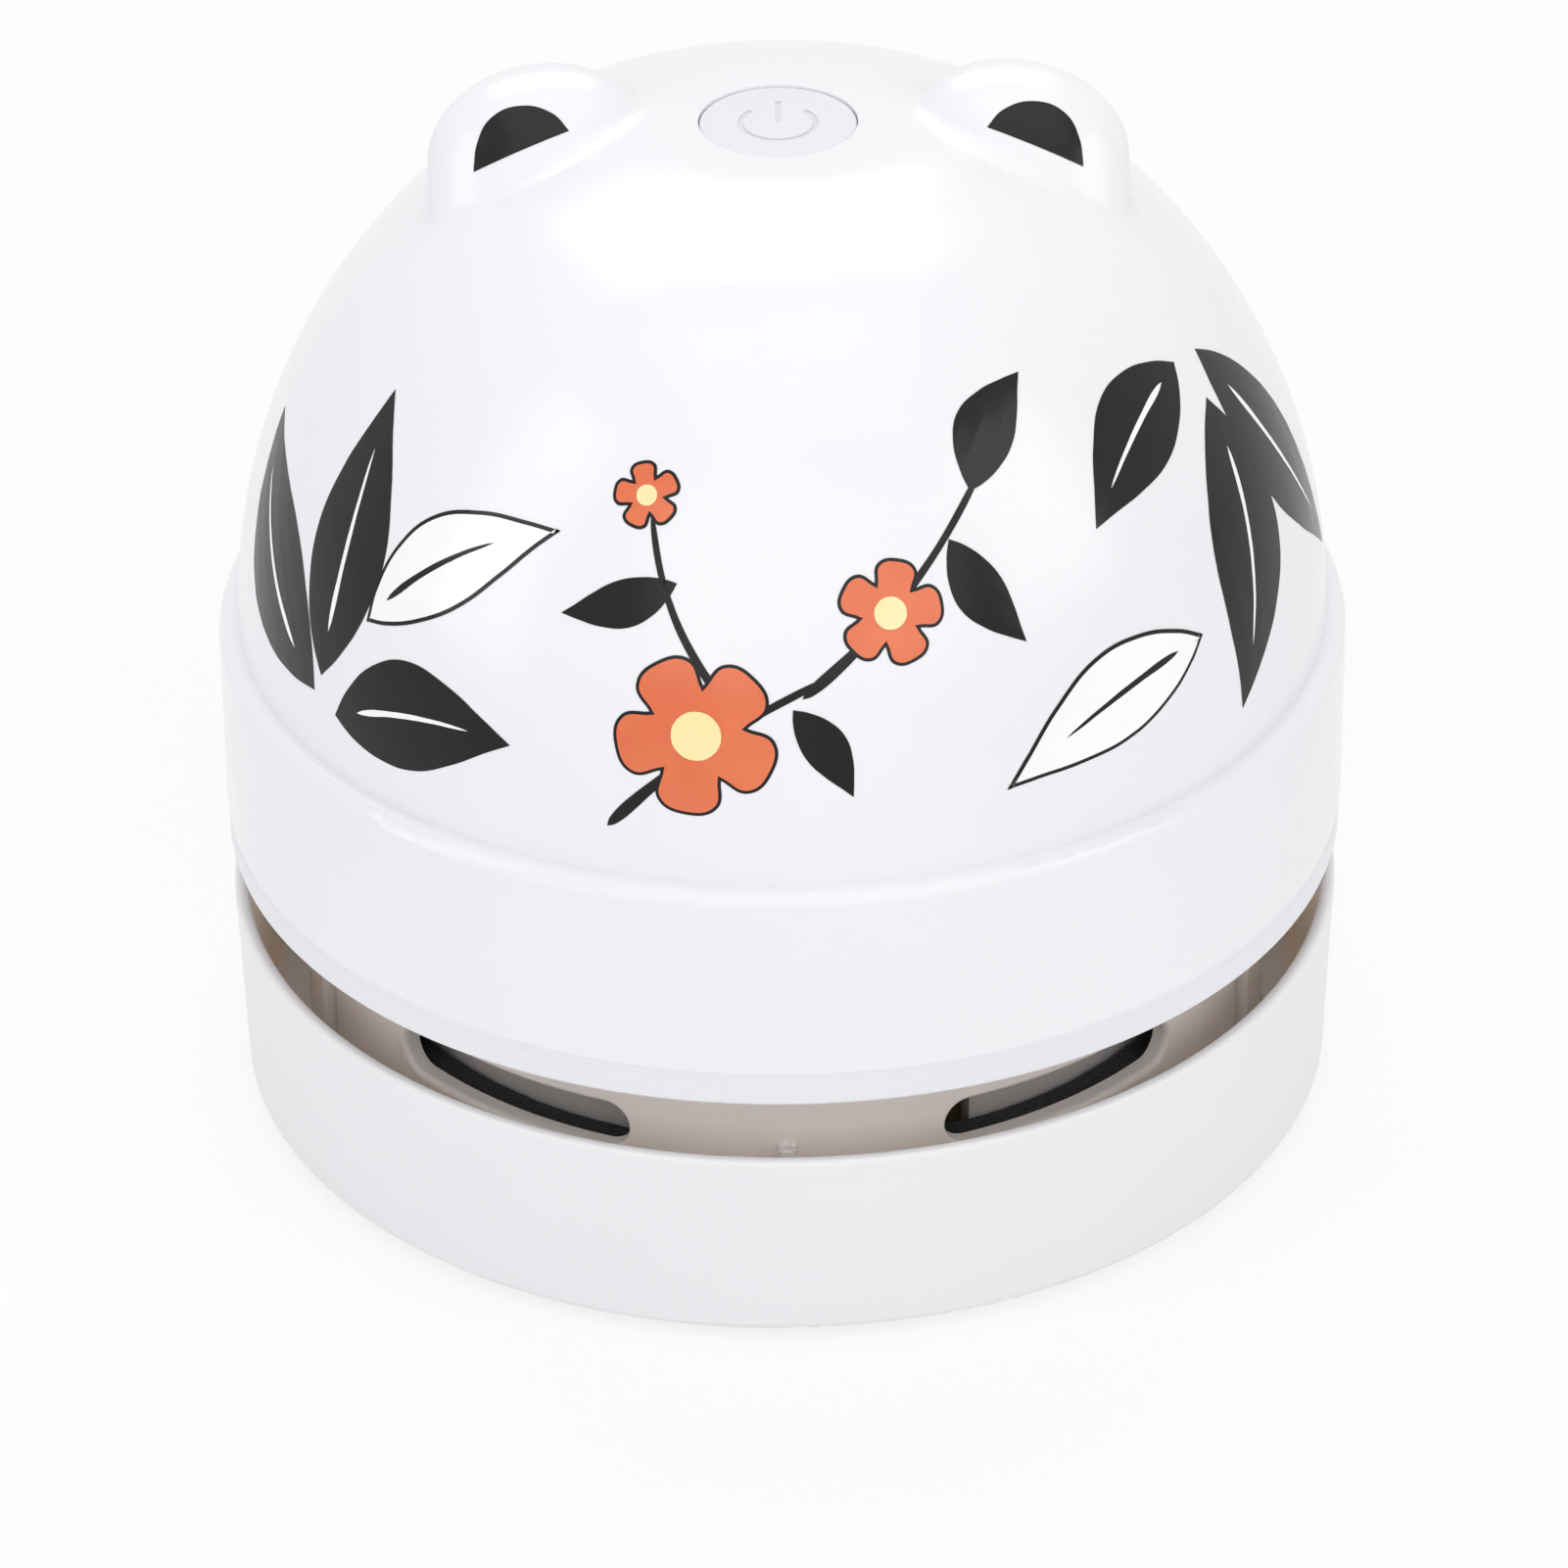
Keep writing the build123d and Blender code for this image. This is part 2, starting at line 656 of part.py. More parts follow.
with BuildPart() as fan_housing:
    with BuildSketch(Plane.XZ):
        with BuildLine():
            Polyline(
                (intake_r, rim_z),
                (skirt_in_r, rim_z),
                (skirt_in_r, skirt_foot_z),
                (skirt_r, skirt_foot_z),
                (skirt_r, rim_z),
                (rim_r, rim_z),
                (rim_r, shell_z),
                (band_r - shell_wall - slip, shell_z),
                (band_r - shell_wall - slip, shell_z + spigot_h),
                (band_r - shell_wall - slip - spigot_wall, shell_z + spigot_h),
                (band_r - shell_wall - slip - spigot_wall, plate_top_z),
                (grille_r + slip, plate_top_z),
                (grille_r + slip, plate_top_z - grille_t),
                (intake_r, plate_top_z - grille_t),
                close=True,
            )
        make_face()
    revolve(axis=Axis.Z)
    circles = fan_housing.edges().filter_by(GeomType.CIRCLE)
    rims = circles.filter_by(lambda e: abs(e.radius - rim_r) < slip / 2)
    fillet(rims.group_by(Axis.Z)[0], rim_round)
    for x, y in case_screw_places:
        with Locations((x, y, shell_z)):
            Cylinder(case_boss_r + turn_gap, spigot_h + slip, align=MIN_FLOOR, mode=Mode.SUBTRACT)
    with BuildSketch(Plane.XY.offset(plate_top_z)):
        with Locations(*case_screw_places):
            Circle(case_boss_r)
    extrude(amount=shell_z - plate_top_z)
    with BuildSketch(Plane.XY.offset(plate_top_z)):
        with Locations(*mount_screw_places):
            Circle(boss_r - slip)
    extrude(amount=mount_screw_h)
    with BuildSketch(Plane.XY.offset(plate_top_z)):
        with Locations(*mount_screw_places):
            Circle(pilot_r)
    extrude(amount=mount_screw_h, mode=Mode.SUBTRACT)
    for x, y in case_screw_places:
        with Locations((x, y, rim_z)):
            Cylinder(screw_head_r + 2 * slip, screw_head_h + slip, align=MIN_FLOOR, mode=Mode.SUBTRACT)
            Cylinder(clear_r, rim_height, align=MIN_FLOOR, mode=Mode.SUBTRACT)
    add(windows, mode=Mode.SUBTRACT)
    add(notch_legs, mode=Mode.SUBTRACT)
    add(notch_runs, mode=Mode.SUBTRACT)
save(fan_housing, "fan_housing")

# Intake grille: finger guard between filter and fan.
with BuildPart() as intake_grille:
    with BuildSketch(Plane.XY.offset(plate_top_z - grille_t)):
        Circle(grille_r)
        Circle(intake_r, mode=Mode.SUBTRACT)
        for radius in grille_rings:
            Circle(radius + grille_bar / 2)
            Circle(radius - grille_bar / 2, mode=Mode.SUBTRACT)
        with PolarLocations(0, grille_ribs):
            Rectangle(intake_r + grille_ledge / 2, grille_bar, align=(Align.MIN, Align.CENTER))
        Circle(grille_hub_r)
    extrude(amount=grille_t)
save(intake_grille, "intake_grille")

# Filter frame: spoked ring that holds the filter disc up against the housing plate.
with BuildPart() as filter_frame:
    with BuildSketch(Plane.XY.offset(frame_z)):
        Circle(frame_r)
        Circle(frame_r - frame_wall, mode=Mode.SUBTRACT)
    extrude(amount=frame_h)
    with BuildSketch(Plane.XY.offset(frame_z)):
        Circle(frame_hub_r)
        with PolarLocations(0, frame_bars):
            Rectangle(frame_r - frame_wall / 2, frame_bar_w, align=(Align.MIN, Align.CENTER))
    extrude(amount=frame_bar_t)
save(filter_frame, "filter_frame")

# Filter disc: soft disc inside the frame.
with BuildPart() as filter_disc:
    with BuildSketch(Plane.XY.offset(filter_z)):
        Circle(frame_r - frame_wall - slip)
    extrude(amount=filter_t)
save(filter_disc, "filter_disc")

# ---------------------------------------------------------------- fan and motor
# Impeller: back disc with backward-curved blades under it, tapered towards the rim.
with BuildPart() as impeller:
    with BuildSketch(Plane.XY.offset(fan_disc_z)):
        Circle(fan_r)
    extrude(amount=fan_disc_t)
    with BuildSketch(Plane.XY.offset(fan_z)):
        with PolarLocations(0, fan_blades):
            with BuildLine():
                lead = ThreePointArc(
                    (fan_eye_r, 0),
                    ((fan_eye_r + fan_r) / 2, fan_blade_bow),
                    (fan_r - slip, 0),
                )
                trail = ThreePointArc(
                    (fan_eye_r, -fan_blade_t),
                    ((fan_eye_r + fan_r) / 2, fan_blade_bow - fan_blade_t),
                    (fan_r - slip, -fan_blade_t),
                )
                Line(lead @ 0, trail @ 0)
                Line(lead @ 1, trail @ 1)
            make_face()
    extrude(amount=fan_blade_h)
    with BuildSketch(Plane.XY.offset(fan_z + fan_taper)):
        Circle(fan_hub_r)
    extrude(amount=fan_blade_h + fan_disc_t - fan_taper + fan_head_room / 3)
    with BuildSketch(Plane.XZ):
        with BuildLine():
            Polyline(
                (fan_eye_r, fan_z),
                (fan_r + fan_trim, fan_z + fan_taper),
                (fan_r + fan_trim, fan_z - fan_trim),
                (fan_eye_r, fan_z - fan_trim),
                close=True,
            )
        make_face()
    revolve(axis=Axis.Z, mode=Mode.SUBTRACT)
    with BuildSketch(Plane.XY.offset(fan_z + fan_taper)):
        Circle(shaft_r)
    extrude(amount=fan_blade_h + fan_disc_t, mode=Mode.SUBTRACT)
save(impeller, "impeller")

# Motor mount: fan chamber wall and the plate that carries motor, battery and board.
with BuildPart() as motor_mount:
    with BuildSketch(Plane.XZ):
        with BuildLine():
            Polyline(
                (duct_r, plate_top_z),
                (duct_r + mount_wall, plate_top_z),
                (duct_r + mount_wall, mount_top_z),
                (motor_nose_r + slip, mount_top_z),
                (motor_nose_r + slip, mount_z),
                (duct_r, mount_z),
                close=True,
            )
        make_face()
    revolve(axis=Axis.Z)
    fillet(motor_mount.edges().group_by(Axis.Z)[-1].sort_by(SortBy.RADIUS)[-1], mount_wall / 2)
    for i in range(3):
        with BuildSketch(Plane.XY.offset(mount_ear_z)):
            with Locations(on_circle(mount_screw_r, 120 * i)):
                Circle(boss_r - slip)
            with Locations(Location((*on_circle((duct_r + mount_wall / 2 + mount_screw_r) / 2, 120 * i), 0),
                                    (0, 0, 120 * i))):
                Rectangle(2 * (boss_r - slip), mount_screw_r - duct_r - mount_wall / 2)
        extrude(amount=mount_ear_t)
    with BuildSketch(Plane.XY.offset(mount_ear_z)):
        with Locations(*mount_screw_places):
            Circle(clear_r)
    extrude(amount=mount_ear_t, mode=Mode.SUBTRACT)
    with BuildSketch(Plane.XY.offset(mount_z)):
        with Locations((-motor_screw_x, 0), (motor_screw_x, 0)):
            Circle(clear_r)
    extrude(amount=mount_plate_t, mode=Mode.SUBTRACT)
    with BuildSketch(Plane.XY.offset(mount_z)):
        with Locations((-motor_screw_x, 0), (motor_screw_x, 0)):
            Circle(screw_head_r + slip)
    extrude(amount=screw_head_h, mode=Mode.SUBTRACT)
    with BuildSketch(Plane.XY.offset(mount_z)):
        with Locations((-cradle_saddle_x, cell_y), (cradle_saddle_x, cell_y)):
            Circle(cradle_peg_r + slip / 2)
    extrude(amount=mount_plate_t, mode=Mode.SUBTRACT)
    with BuildSketch(Plane.XY.offset(mount_top_z)):
        with Locations(*board_screw_places):
            Circle(boss_r - slip)
    extrude(amount=post_h)
    with BuildSketch(Plane.XY.offset(mount_top_z)):
        with Locations(*board_screw_places):
            Circle(pilot_r)
    extrude(amount=post_h, mode=Mode.SUBTRACT)
    with BuildSketch(Plane.XY.offset(mount_top_z)):
        with Locations((0, duct_r - mount_wall)):
            Rectangle(board_w / 2, 2 * mount_wall)
    extrude(amount=post_h)
save(motor_mount, "motor_mount")

# Motor can: steel cup with a nose that centres it in the mount.
with BuildPart() as motor_can:
    with BuildSketch(Plane.XZ):
        with BuildLine():
            Polyline(
                (motor_nose_r - motor_can_wall, motor_z - motor_nose_h),
                (motor_nose_r, motor_z - motor_nose_h),
                (motor_nose_r, motor_z),
                (motor_r, motor_z),
                (motor_r, motor_cap_z),
                (motor_r - motor_can_wall, motor_cap_z),
                (motor_r - motor_can_wall, motor_z + motor_can_wall),
                (motor_nose_r - motor_can_wall, motor_z + motor_can_wall),
                close=True,
            )
        make_face()
    revolve(axis=Axis.Z)
    rims = motor_can.edges().filter_by(GeomType.CIRCLE).filter_by(lambda e: abs(e.radius - motor_r) < slip)
    fillet(rims.group_by(Axis.Z)[0], motor_can_wall / 2)
    with BuildSketch(Plane.XY.offset(motor_z)):
        with Locations((-motor_screw_x, 0), (motor_screw_x, 0)):
            Circle(pilot_r)
    extrude(amount=motor_can_wall, mode=Mode.SUBTRACT)
save(motor_can, "motor_can")

# Front bearing: bronze bush in the motor's nose.
with BuildPart() as motor_bearing:
    with BuildSketch(Plane.XY.offset(motor_z - motor_nose_h)):
        Circle(motor_nose_r - motor_can_wall)
        Circle(shaft_r + bearing_gap, mode=Mode.SUBTRACT)
    extrude(amount=motor_nose_h + motor_can_wall)
save(motor_bearing, "motor_bearing")

# Magnets: two curved magnets on the can's inner wall.
magnets = [
    sector(side - magnet_arc / 2, magnet_arc, magnet_r - magnet_t, magnet_r, armature_z,
           armature_z + armature_h)
    for side in (0, 180)
]
with BuildPart() as motor_magnets:
    add(magnets)
save(motor_magnets, "motor_magnets")

# End cap: plastic cap with the rear bearing, vented at two sides.
with BuildPart() as motor_end_cap:
    with BuildSketch(Plane.XZ):
        with BuildLine():
            Polyline(
                (shaft_r + bearing_gap, motor_cap_z + motor_can_wall),
                (motor_r - 2 * motor_can_wall, motor_cap_z + motor_can_wall),
                (motor_r - 2 * motor_can_wall, motor_cap_z - motor_can_wall),
                (motor_r - motor_can_wall - slip / 2, motor_cap_z - motor_can_wall),
                (motor_r - motor_can_wall - slip / 2, motor_cap_z),
                (motor_r, motor_cap_z),
                (motor_r, motor_cap_z + motor_can_wall),
                (motor_r - motor_can_wall, motor_top_z - motor_can_wall),
                (motor_nose_r + motor_can_wall, motor_top_z - motor_can_wall),
                (motor_nose_r + motor_can_wall, motor_top_z),
                (shaft_r + bearing_gap, motor_top_z),
                close=True,
            )
        make_face()
    revolve(axis=Axis.Z)
save(motor_end_cap, "motor_end_cap")

# Terminals: two tabs that stand on the end cap.
with BuildPart() as motor_terminals:
    for x in (-terminal_x, terminal_x):
        with Locations((x, 0, motor_top_z - motor_can_wall)):
            Box(*terminal_size, align=MIN_FLOOR)
save(motor_terminals, "motor_terminals")

# Shaft: from the impeller's hub through both bearings.
with BuildPart() as motor_shaft:
    with BuildSketch(Plane.XY.offset(fan_z + fan_taper)):
        Circle(shaft_r - slip / 10)
    extrude(amount=motor_top_z - slip - fan_z - fan_taper)
save(motor_shaft, "motor_shaft")

# Armature: three-pole stack with its windings, on the shaft.
with BuildPart() as motor_armature:
    with BuildSketch(Plane.XY.offset(armature_z)):
        Circle(armature_r)
        with PolarLocations(armature_r, 3):
            Circle(commutator_r, mode=Mode.SUBTRACT)
        Circle(shaft_r, mode=Mode.SUBTRACT)
    extrude(amount=armature_h)
save(motor_armature, "motor_armature")

# Commutator: copper ring above the armature.
with BuildPart() as motor_commutator:
    with BuildSketch(Plane.XY.offset(commutator_z)):
        Circle(commutator_r)
        Circle(shaft_r, mode=Mode.SUBTRACT)
    extrude(amount=commutator_h)
save(motor_commutator, "motor_commutator")

# Motor screws: up through the plate into the can's face.
motor_screw = pan_screw(mount_plate_t - screw_head_h + motor_can_wall)
with BuildPart() as motor_screws:
    for x in (-motor_screw_x, motor_screw_x):
        with Locations(Location((x, 0, mount_z + screw_head_h), (180, 0, 0))):
            add(motor_screw)
save(motor_screws, "motor_screws")

# Mount screws: through the mount's ears into the housing posts.
mount_screw = pan_screw(mount_ear_t + mount_screw_h - 2 * turn_gap)
with BuildPart() as mount_screws:
    for x, y in mount_screw_places:
        with Locations((x, y, mount_ear_z + mount_ear_t)):
            add(mount_screw)
save(mount_screws, "mount_screws")

# ---------------------------------------------------------------- battery and boards
# Cradle: base strip with two saddles, pegged into the motor mount.
with BuildPart() as battery_cradle:
    with BuildSketch(Plane.XY.offset(mount_top_z)):
        with Locations((0, cell_y)):
            Rectangle(2 * cradle_saddle_x + cradle_saddle_w, cell_r)
    extrude(amount=cradle_base_t)
    with BuildSketch(Plane.XY.offset(mount_top_z)):
        with Locations((-cradle_saddle_x, cell_y), (cradle_saddle_x, cell_y)):
            Rectangle(cradle_saddle_w, 2 * cell_r)
    extrude(amount=cradle_base_t + cradle_saddle_h)
    with BuildSketch(Plane.YZ.offset(-cell_length / 2)):
        with Locations((cell_y, cell_z)):
            Circle(cell_r + slip)
    extrude(amount=cell_length, mode=Mode.SUBTRACT)
    with BuildSketch(Plane.XY.offset(mount_top_z)):
        with Locations((-cradle_saddle_x, cell_y), (cradle_saddle_x, cell_y)):
            Circle(cradle_peg_r)
    extrude(amount=-mount_plate_t)
save(battery_cradle, "battery_cradle")

# Battery cell: one small round cell lying across in front of the motor.
with BuildPart() as battery_cell:
    with BuildSketch(Plane.YZ.offset(-cell_length / 2)):
        with Locations((cell_y, cell_z)):
            Circle(cell_r)
    extrude(amount=cell_length)
    fillet(battery_cell.edges().filter_by(GeomType.CIRCLE), cell_cap_h / 2)
    with BuildSketch(Plane.YZ.offset(cell_length / 2)):
        with Locations((cell_y, cell_z)):
            Circle(cell_cap_r)
    extrude(amount=cell_cap_h)
save(battery_cell, "battery_cell")

# Battery tabs: a nickel strip welded on each end of the cell.
with BuildPart() as battery_tabs:
    with Locations((-cell_length / 2 - tab_size[0] / 2, cell_y, cell_z),
                   (cell_length / 2 + cell_cap_h + tab_size[0] / 2, cell_y, cell_z)):
        Box(*tab_size)
save(battery_tabs, "battery_tabs")

# Charging board behind the motor.
with BuildPart() as charging_board:
    with BuildSketch(Plane.XY.offset(board_z)):
        with Locations((0, (board_y0 + board_y1) / 2)):
            RectangleRounded(board_w, board_y1 - board_y0, board_corner / 2)
        with Locations(*board_screw_places):
            Circle(clear_r, mode=Mode.SUBTRACT)
    extrude(amount=board_t)
save(charging_board, "charging_board")

# Chips and coil on the charging board.
with BuildPart() as board_chips:
    for x, inset_y, size_x, size_y, height in chip_list:
        with Locations((x, board_y1 - inset_y, board_top_z)):
            Box(size_x, size_y, height, align=MIN_FLOOR)
save(board_chips, "board_chips")

# Micro-USB socket: folded metal shell with its tongue, mouth to the rear.
usb_back_plane = Plane(origin=(0, usb_mouth_y - usb_length, usb_z), x_dir=(-1, 0, 0), z_dir=(0, 1, 0))
with BuildPart() as usb_socket:
    with BuildSketch(usb_back_plane):
        Rectangle(usb_w, usb_h)
        chamfer(vertices().group_by(Axis.Y)[0], usb_h / 3)
    extrude(amount=usb_length)
    with BuildSketch(usb_back_plane.offset(usb_wall)):
        Rectangle(usb_w - 2 * usb_wall, usb_h - 2 * usb_wall)
        chamfer(vertices().group_by(Axis.Y)[0], usb_h / 3)
    extrude(amount=usb_length, mode=Mode.SUBTRACT)
    with BuildSketch(usb_back_plane):
        Rectangle(usb_w / 2, 2 * usb_wall)
    extrude(amount=usb_length - usb_wall)
save(usb_socket, "usb_socket")

# Board screws.
board_screw = pan_screw(board_t + post_h - turn_gap)
with BuildPart() as board_screws:
    for x, y in board_screw_places:
        with Locations((x, y, board_top_z)):
            add(board_screw)
save(board_screws, "board_screws")

# Switch board under the crown.
with BuildPart() as switch_board:
    with BuildSketch(Plane.XY.offset(switch_board_top_z - board_t)):
        RectangleRounded(switch_board_x, switch_board_y, board_corner)
        with Locations(*switch_screw_places):
            Circle(clear_r, mode=Mode.SUBTRACT)
    extrude(amount=board_t)
save(switch_board, "switch_board")

# Tact switch body, with the bore its plunger runs in.
with BuildPart() as tact_switch:
    with Locations((0, 0, switch_board_top_z)):
        Box(tact_size, tact_size, tact_height, align=MIN_FLOOR)
    chamfer(tact_switch.edges().filter_by(Axis.Z), tact_size / 12)
    with Locations((0, 0, tact_top_z)):
        Cylinder(plunger_r + bearing_gap, plunger_length - tact_gap + 2 * button_travel, align=MAX_TOP,
                 mode=Mode.SUBTRACT)
save(tact_switch, "tact_switch")

# Indicator lights beside the switch, under the translucent button.
with BuildPart() as indicator_leds:
    with Locations((-led_x, 0, switch_board_top_z), (led_x, 0, switch_board_top_z)):
        Box(*led_size, align=MIN_FLOOR)
save(indicator_leds, "indicator_leds")

# Switch board screws: up into the crown's bosses.
switch_screw = pan_screw(board_t + guide_depth - turn_gap)
with BuildPart() as switch_screws:
    for x, y in switch_screw_places:
        with Locations(Location((x, y, switch_board_top_z - board_t), (180, 0, 0))):
            add(switch_screw)
save(switch_screws, "switch_screws")

# Power button: hollow cap with a flange that holds it in and a stem to the plunger.
with BuildPart() as power_button:
    with BuildSketch(Plane.XZ):
        with BuildLine():
            Polyline(
                (0, plunger_top_z),
                (stem_r, plunger_top_z),
                (stem_r, button_in_z),
                (button_r - button_wall, button_in_z),
                (button_r - button_wall, button_foot_z),
                (button_r + button_flange, button_foot_z),
                (button_r + button_flange, button_flange_top_z),
                (button_r, button_flange_top_z),
                (button_r, button_top_z),
                (0, button_top_z),
                close=True,
            )
        make_face()
    revolve(axis=Axis.Z)
    fillet(power_button.edges().group_by(Axis.Z)[-1], button_gap)
save(power_button, "power_button")

# Switch plunger: runs in the switch and moves with the button.
with BuildPart() as switch_plunger:
    with Locations((0, 0, plunger_top_z)):
        Cylinder(plunger_r, plunger_length, align=MAX_TOP)
save(switch_plunger, "switch_plunger")

# ---------------------------------------------------------------- upper shell
# Upper shell: band, shoulder, dome with flattened crown and two ears, hollow inside, with
# bosses for its screws, a guide for the button and an opening for the charging socket.
ears = [ear_place(side) * ear_lobe(0) for side in (-1, 1)]
ear_hollows = [ear_place(side) * ear_lobe(shell_wall) for side in (-1, 1)]
with BuildPart() as upper_shell:
    with BuildSketch(section_plane(180)):
        with BuildLine():
            Polyline(
                (0, shell_z),
                (band_r, shell_z),
                (band_r, shoulder_z - shoulder_round),
            )
            CenterArc((band_r - shoulder_round, shoulder_z - shoulder_round), shoulder_round, 0, 90)
            Line((band_r - shoulder_round, shoulder_z), (dome_r, shoulder_z))
            dome_line(0, crown_z)
        make_face()
    revolve(axis=Axis.Z)
    for ear in ears:
        add(ear)
        fillet(upper_shell.edges(Select.NEW), ear_blend)
    with BuildSketch(section_plane(180)):
        with BuildLine():
            Polyline(
                (0, shell_z),
                (band_r - shell_wall, shell_z),
                (band_r - shell_wall, shoulder_z - shell_wall),
                (dome_r - shell_wall, shoulder_z),
            )
            dome_line(shell_wall, crown_in_z)
        make_face()
    revolve(axis=Axis.Z, mode=Mode.SUBTRACT)
    add(ear_hollows, mode=Mode.SUBTRACT)
    with BuildSketch(Plane.XY.offset(shell_z)):
        with Locations(*case_screw_places):
            Circle(case_boss_r)
        Circle(band_r - shell_wall / 2, mode=Mode.INTERSECT)
    extrude(amount=case_boss_h)
    with BuildSketch(Plane.XY.offset(shell_z)):
        with Locations(*case_screw_places):
            Circle(pilot_r)
    extrude(amount=case_screw_length, mode=Mode.SUBTRACT)
    with BuildSketch(Plane.XY.offset(crown_in_z - guide_depth)):
        Circle(button_r + button_flange + guide_gap + guide_wall)
        Circle(button_r + button_flange + guide_gap, mode=Mode.SUBTRACT)
    extrude(amount=guide_depth + crown_wall / 2)
    with BuildSketch(Plane.XY.offset(switch_board_top_z)):
        with Locations(*switch_screw_places):
            Circle(boss_r - slip)
    extrude(amount=crown_in_z - switch_board_top_z + crown_wall / 4)
    with BuildSketch(Plane.XY.offset(switch_board_top_z)):
        with Locations(*switch_screw_places):
            Circle(pilot_r)
    extrude(amount=guide_depth, mode=Mode.SUBTRACT)
    with BuildSketch(Plane.XY.offset(crown_in_z - slip)):
        Circle(button_r + button_gap)
    extrude(amount=crown_wall + 2 * slip, mode=Mode.SUBTRACT)
    with BuildSketch(usb_back_plane):
        RectangleRounded(usb_w + 2 * usb_hole_gap, usb_h + 2 * usb_hole_gap, usb_h / 4)
    extrude(amount=2 * usb_length, mode=Mode.SUBTRACT)
    with BuildSketch(usb_back_plane.offset(usb_length + usb_set_back - usb_recess_t)):
        RectangleRounded(usb_recess_w, usb_recess_h, usb_recess_h / 3)
    extrude(amount=usb_length, mode=Mode.SUBTRACT)
save(upper_shell, "upper_shell")

# Case screws: from below through the housing plate into the shell's bosses.
case_screw = pan_screw(case_screw_length + rim_height - screw_head_h - turn_gap)
with BuildPart() as case_screws:
    for x, y in case_screw_places:
        with Locations(Location((x, y, rim_z + screw_head_h + slip), (180, 0, 0))):
            add(case_screw)
save(case_screws, "case_screws")
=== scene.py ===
# %% [markdown]
# # A desktop mini vacuum cleaner, from plain solids to a finished look
# The solids of this palm-size cleaner are loaded as a fixed frame: a dust tray with a slotted
# collar, an upper half with the dome, the fan, the motor and the cell, and a push button on top.
# Nothing of the frame is moved. This lesson gives every solid its finish, and models by hand
# what solids show badly: printed ink, the mark on the button, foam, filter cloth and bristles. A
# copy of the shell also gets lower ears.

# %% load the frame
import math
import random

import bpy
from mathutils import Matrix, Vector


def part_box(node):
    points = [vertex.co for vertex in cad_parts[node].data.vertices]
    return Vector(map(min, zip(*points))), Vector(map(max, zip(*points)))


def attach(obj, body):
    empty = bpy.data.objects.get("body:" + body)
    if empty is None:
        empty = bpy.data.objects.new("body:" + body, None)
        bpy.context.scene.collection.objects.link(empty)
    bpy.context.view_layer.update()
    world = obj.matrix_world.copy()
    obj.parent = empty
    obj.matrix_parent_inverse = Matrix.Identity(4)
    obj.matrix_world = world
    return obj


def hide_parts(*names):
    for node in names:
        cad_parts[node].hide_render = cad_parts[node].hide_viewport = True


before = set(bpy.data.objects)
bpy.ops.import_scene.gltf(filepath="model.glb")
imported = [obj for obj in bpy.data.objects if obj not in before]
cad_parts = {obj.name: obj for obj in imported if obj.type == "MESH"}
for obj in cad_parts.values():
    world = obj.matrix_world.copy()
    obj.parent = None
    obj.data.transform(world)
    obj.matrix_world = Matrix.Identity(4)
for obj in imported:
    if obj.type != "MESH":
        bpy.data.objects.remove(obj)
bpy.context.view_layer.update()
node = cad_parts
mm = 0.001

# %% [markdown]
# The camera stands half a metre off and looks down by 31.5 degrees through a long lens, as for a
# catalogue picture of a small product. A long lens keeps the upright sides nearly parallel. Half
# a degree of roll is left in, because a hand-set tripod is never quite level.

# %% camera
look_down, roll = 0.5503, 0.009    # radians
stand_back, stand_high = 0.524942, 0.344567
camera_data = bpy.data.cameras.new("camera")
camera_data.lens = 184.56
camera = bpy.data.objects.new("camera", camera_data)
bpy.context.scene.collection.objects.link(camera)
camera.matrix_world = (
    Matrix.Translation((0, -stand_back, stand_high))
    @ Matrix.Rotation(math.pi / 2 - look_down, 4, "X")
    @ Matrix.Rotation(-roll, 4, "Z")
)
bpy.context.scene.camera = camera
print("camera distance to the axis, mm:", round(stand_back / mm))

# %% [markdown]
# The studio is a pale table and a white surround. The lamps are kept low enough for white
# plastic to stay just under full white. The surround looks fully white only to the camera and in
# reflections, which a Light Path node tells apart from the light that falls on the object.

# %% the surround
bpy.context.scene.view_settings.view_transform = "Standard"
surround_light, table_glow = 0.47, 0.8


def seen_directly(tree):
    """1 for camera, glossy and transmission rays, and 0 for the rays that carry light."""
    path = tree.nodes.new("ShaderNodeLightPath")
    first, second = (tree.nodes.new("ShaderNodeMath") for _ in range(2))
    first.operation = second.operation = "MAXIMUM"
    tree.links.new(path.outputs["Is Camera Ray"], first.inputs[0])
    tree.links.new(path.outputs["Is Glossy Ray"], first.inputs[1])
    tree.links.new(first.outputs[0], second.inputs[0])
    tree.links.new(path.outputs["Is Transmission Ray"], second.inputs[1])
    return second.outputs[0]


world = bpy.data.worlds.new("studio")
bpy.context.scene.world = world
world.use_nodes = True
sky = world.node_tree
lit, shown = sky.nodes["Background"], sky.nodes.new("ShaderNodeBackground")
mixed = sky.nodes.new("ShaderNodeMixShader")
lit.inputs["Color"].default_value = (0.99, 0.99, 1, 1)
lit.inputs["Strength"].default_value = surround_light
shown.inputs["Color"].default_value = (1, 1, 1, 1)
sky.links.new(seen_directly(sky), mixed.inputs[0])
sky.links.new(lit.outputs[0], mixed.inputs[1])
sky.links.new(shown.outputs[0], mixed.inputs[2])
sky.links.new(mixed.outputs[0], sky.nodes["World Output"].inputs["Surface"])
print("surround light:", surround_light)

